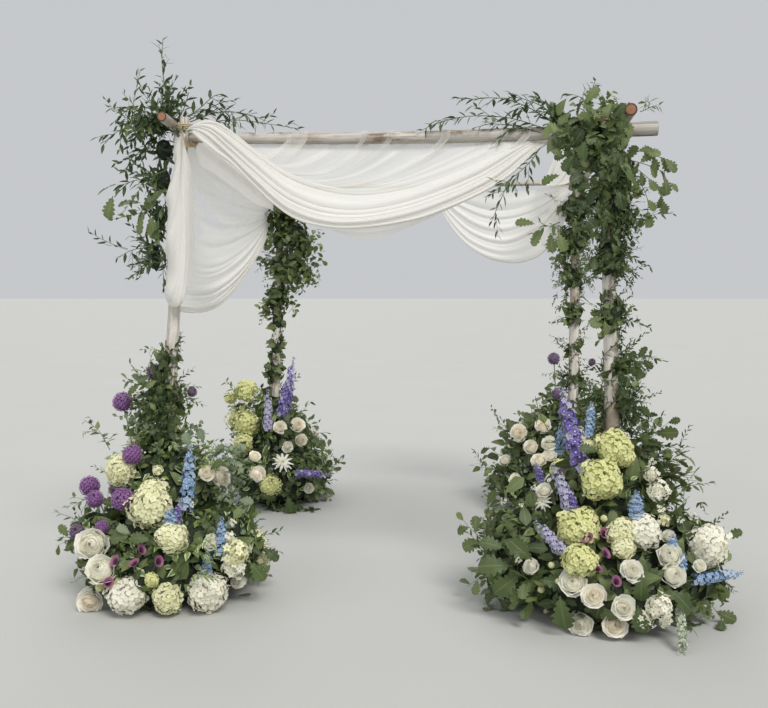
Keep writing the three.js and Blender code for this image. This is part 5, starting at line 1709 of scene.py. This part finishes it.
# Branches and tendrils that stand out of the beds: kind, picture points, depth, size, side twigs
BED_SPRAYS = {
    "front_left_bed": [
        ("edged", [(212, 490), (204, 466), (196, 450), (188, 441)], -1.30, 1.0, 4),
        ("edged", [(216, 478), (208, 456), (203, 446)], -1.28, 1.0, 2),
        ("sage", [(232, 478), (228, 456), (220, 440)], -1.22, 1.1, 4),
        ("sage", [(240, 486), (244, 462), (240, 446)], -1.20, 1.0, 3),
        ("sage", [(214, 500), (228, 486), (244, 482)], -1.30, 1.0, 3),
        ("edged", [(182, 556), (196, 544), (212, 536)], -1.72, 1.1, 4),
        ("edged", [(178, 566), (170, 552), (166, 540)], -1.74, 1.1, 3),
        ("edged", [(190, 580), (206, 566), (216, 556)], -1.72, 1.0, 3),
        ("leafy", [(110, 450), (98, 430), (84, 420)], -1.25, 1.0, 3),
        ("leafy", [(100, 500), (84, 500), (72, 508)], -1.30, 1.0, 3),
        ("ruscus", [(150, 470), (160, 440), (168, 420)], -1.30, 1.1, 4),
        ("ruscus", [(160, 490), (168, 466), (184, 450)], -1.36, 1.1, 4),
        ("ruscus", [(226, 540), (244, 530), (262, 528)], -1.34, 1.1, 4),
    ],
    "front_right_bed": [
        ("oak", [(640, 492), (660, 474), (676, 456), (688, 445)], -1.30, 1.0, 4),
        ("oak", [(650, 500), (664, 480), (668, 464)], -1.34, 1.0, 2),
        ("oak", [(548, 556), (530, 562), (512, 568), (504, 574)], -1.45, 1.05, 3),
        ("oak", [(550, 570), (534, 576), (520, 584)], -1.55, 1.05, 3),
        ("oak", [(552, 588), (538, 596), (524, 602)], -1.62, 1.05, 3),
        ("ruscus", [(580, 470), (560, 446), (548, 426)], -1.26, 1.1, 4),
        ("ruscus", [(640, 452), (652, 436), (660, 420)], -1.26, 1.0, 3),
        ("ruscus", [(690, 580), (710, 572), (726, 574)], -1.56, 1.0, 3),
        ("leafy", [(560, 540), (540, 532), (522, 530)], -1.42, 1.0, 3),
        ("ruscus", [(536, 520), (516, 506), (500, 500)], -1.34, 1.0, 3),
        ("broad", [(548, 430), (540, 414), (535, 396)], -1.22, 1.2, 1),
    ],
    "back_left_bed": [
        ("leafy", [(300, 470), (316, 466), (326, 470)], 0.95, 1.2, 3),
        ("ruscus", [(270, 500), (278, 512), (286, 524)], 0.72, 1.2, 3),
        ("lime", [(240, 400), (232, 388), (226, 380)], 1.0, 1.2, 3),
        ("leafy", [(250, 440), (240, 416), (232, 400), (228, 392)], 1.02, 1.2, 5),
        ("leafy", [(262, 432), (254, 410), (244, 404), (234, 406)], 1.0, 1.2, 5),
        ("leafy", [(256, 440), (252, 412), (258, 392)], 1.04, 1.2, 4),
        ("lime", [(250, 446), (236, 436), (226, 424)], 1.0, 1.2, 4),
        ("lobed", [(280, 500), (276, 514), (272, 530)], 0.78, 0.8, 3),
        ("lobed", [(296, 500), (304, 512), (312, 520)], 0.78, 0.8, 3),
        ("lime", [(254, 446), (246, 430), (240, 416)], 0.98, 1.1, 4),
    ],
    "back_right_bed": [
        ("ruscus", [(520, 440), (508, 428), (500, 424)], 1.0, 1.2, 3),
        ("leafy", [(520, 480), (504, 478), (492, 484)], 0.9, 1.2, 3),
        ("leafy", [(560, 420), (556, 406), (560, 392)], 1.1, 1.2, 3),
    ],
}
# Large leaves that lie over a bed: kind, picture x, y, way along x, way along z, size
BED_LEAVES = {
    "front_left_bed": [
        ("lobed", 250, 562, 0.6, -0.6, 1.1), ("lobed", 262, 548, 0.8, -0.3, 1.0),
        ("lobed", 240, 600, 0.4, -0.8, 1.0), ("lobed", 150, 540, -0.7, 0.2, 0.9),
        ("lobed", 128, 536, -0.9, -0.1, 0.9), ("lobed", 210, 470, 0.5, 0.5, 0.8),
        ("dusty", 190, 448, -0.2, 0.9, 0.8), ("dusty", 214, 456, 0.5, 0.7, 0.8),
        ("dusty", 232, 452, 0.8, 0.5, 0.8), ("dusty", 238, 500, 0.9, 0.1, 0.8),
        ("dusty", 204, 442, -0.3, 0.9, 0.75), ("dusty", 130, 534, -0.5, 0.5, 0.7),
    ],
    "front_right_bed": [
        ("lobed", 512, 566, -1.0, 0.1, 1.5), ("lobed", 520, 574, -0.8, -0.6, 1.5),
        ("lobed", 532, 560, -0.5, 0.5, 1.3), ("lobed", 540, 580, 0.9, 0.0, 1.2),
        ("lobed", 560, 596, 0.1, -1.0, 1.5), ("lobed", 504, 548, -0.9, 0.4, 1.1),
        ("lobed", 642, 574, -0.1, -1.0, 1.2), ("lobed", 638, 606, 0.1, -1.0, 1.2),
        ("lobed", 670, 590, 0.9, -0.6, 1.2), ("lobed", 672, 628, 0.9, -0.4, 1.6),
        ("broad", 532, 420, -0.7, 0.6, 0.8), ("lobed", 597, 452, -0.6, 0.3, 0.8),
        ("broad", 524, 478, -0.6, -0.4, 1.3), ("broad", 534, 492, -0.3, -0.7, 1.2),
    ],
    "back_left_bed": [("lobed", 288, 496, 0.2, -0.9, 1.4), ("lobed", 312, 500, 0.7, -0.6, 1.2)],
    "back_right_bed": [("broad", 506, 444, -0.8, 0.3, 1.2), ("broad", 500, 500, -0.7, -0.5, 1.1)],
}
POSTS_IN_VIEW = [
    *post_discs("front_right_post", (0.93, 1.3)), *post_discs("back_right_post", (0.84, 1.2)),
    *post_discs("back_left_post", (0.8, 1.1)),
]
for bed, (count, kinds, shares) in BEDS.items():
    thatch = ("leafy", "leafy", "broad", *(("sage", "lime", "edged") if "left" in bed else ()))
    parts = [
        core(bed, shares, 170, thatch),
        fill(bed, count, kinds, 0.11, 0.25, (0.7, 1.1), 0.10, discs=DISCS + POSTS_IN_VIEW),
        fill(bed, count // 4, kinds, 0.12, 0.3, (0.6, 0.9), 0.05, keep=lambda p, n: p[2] > 0.55, discs=DISCS),
    ]
    for kind, points, depth, size, twigs in BED_SPRAYS[bed]:
        parts.append(above_ground(spray(px(points, depth), kind, size, twigs, 0.14)))
    for kind, x, y, side, up, size in BED_LEAVES[bed]:
        point = on_bed(bed, x, y)[0] - ray(x, y) * 0.09
        parts.append(above_ground(leaf_at(point, (side, -0.25, up), kind, size, (0, -0.8, 0.6))))
    build(bed + "_leaves", parts, "dark_foliage", bed)
print("beds ready")

# Floor, background and light

bpy.ops.mesh.primitive_plane_add(size=400, location=(0, 0, 0))
floor = bpy.context.object
floor.name = "floor"
m = Nodes("pale_floor")
where = m.add("ShaderNodeTexCoord").outputs["Object"]
tone = m.mix(m.noise(where, 0.6), (0.40, 0.405, 0.39), (0.43, 0.435, 0.42))
floor.data.materials.append(m.done(m.principled(Base_Color=tone, Roughness=0.9)))

world = bpy.data.worlds.new("studio")
world.use_nodes = True
backdrop = world.node_tree.nodes["Background"].inputs
backdrop["Color"].default_value = (0.60, 0.615, 0.635, 1)
backdrop["Strength"].default_value = 0.94
bpy.context.scene.world = world
bpy.context.scene.view_settings.view_transform = "Standard"

for name, place, energy, colour, spread in (
    ("key", (3.0, -5.0, 7.5), 2.6, (1.0, 0.975, 0.93), 24),
    ("fill", (-6.0, -5.0, 5.0), 0.7, (0.97, 0.98, 1.0), 60),
    ("behind", (-2.0, 7.0, 6.5), 0.8, (1.0, 0.99, 0.96), 40),
):
    light = bpy.data.objects.new(name, bpy.data.lights.new(name, "SUN"))
    light.data.energy, light.data.color, light.data.angle = energy, colour, math.radians(spread)
    light.location = place
    light.rotation_euler = (Vector((0, 0, 1.2)) - Vector(place)).to_track_quat("-Z", "Y").to_euler()
    bpy.context.scene.collection.objects.link(light)
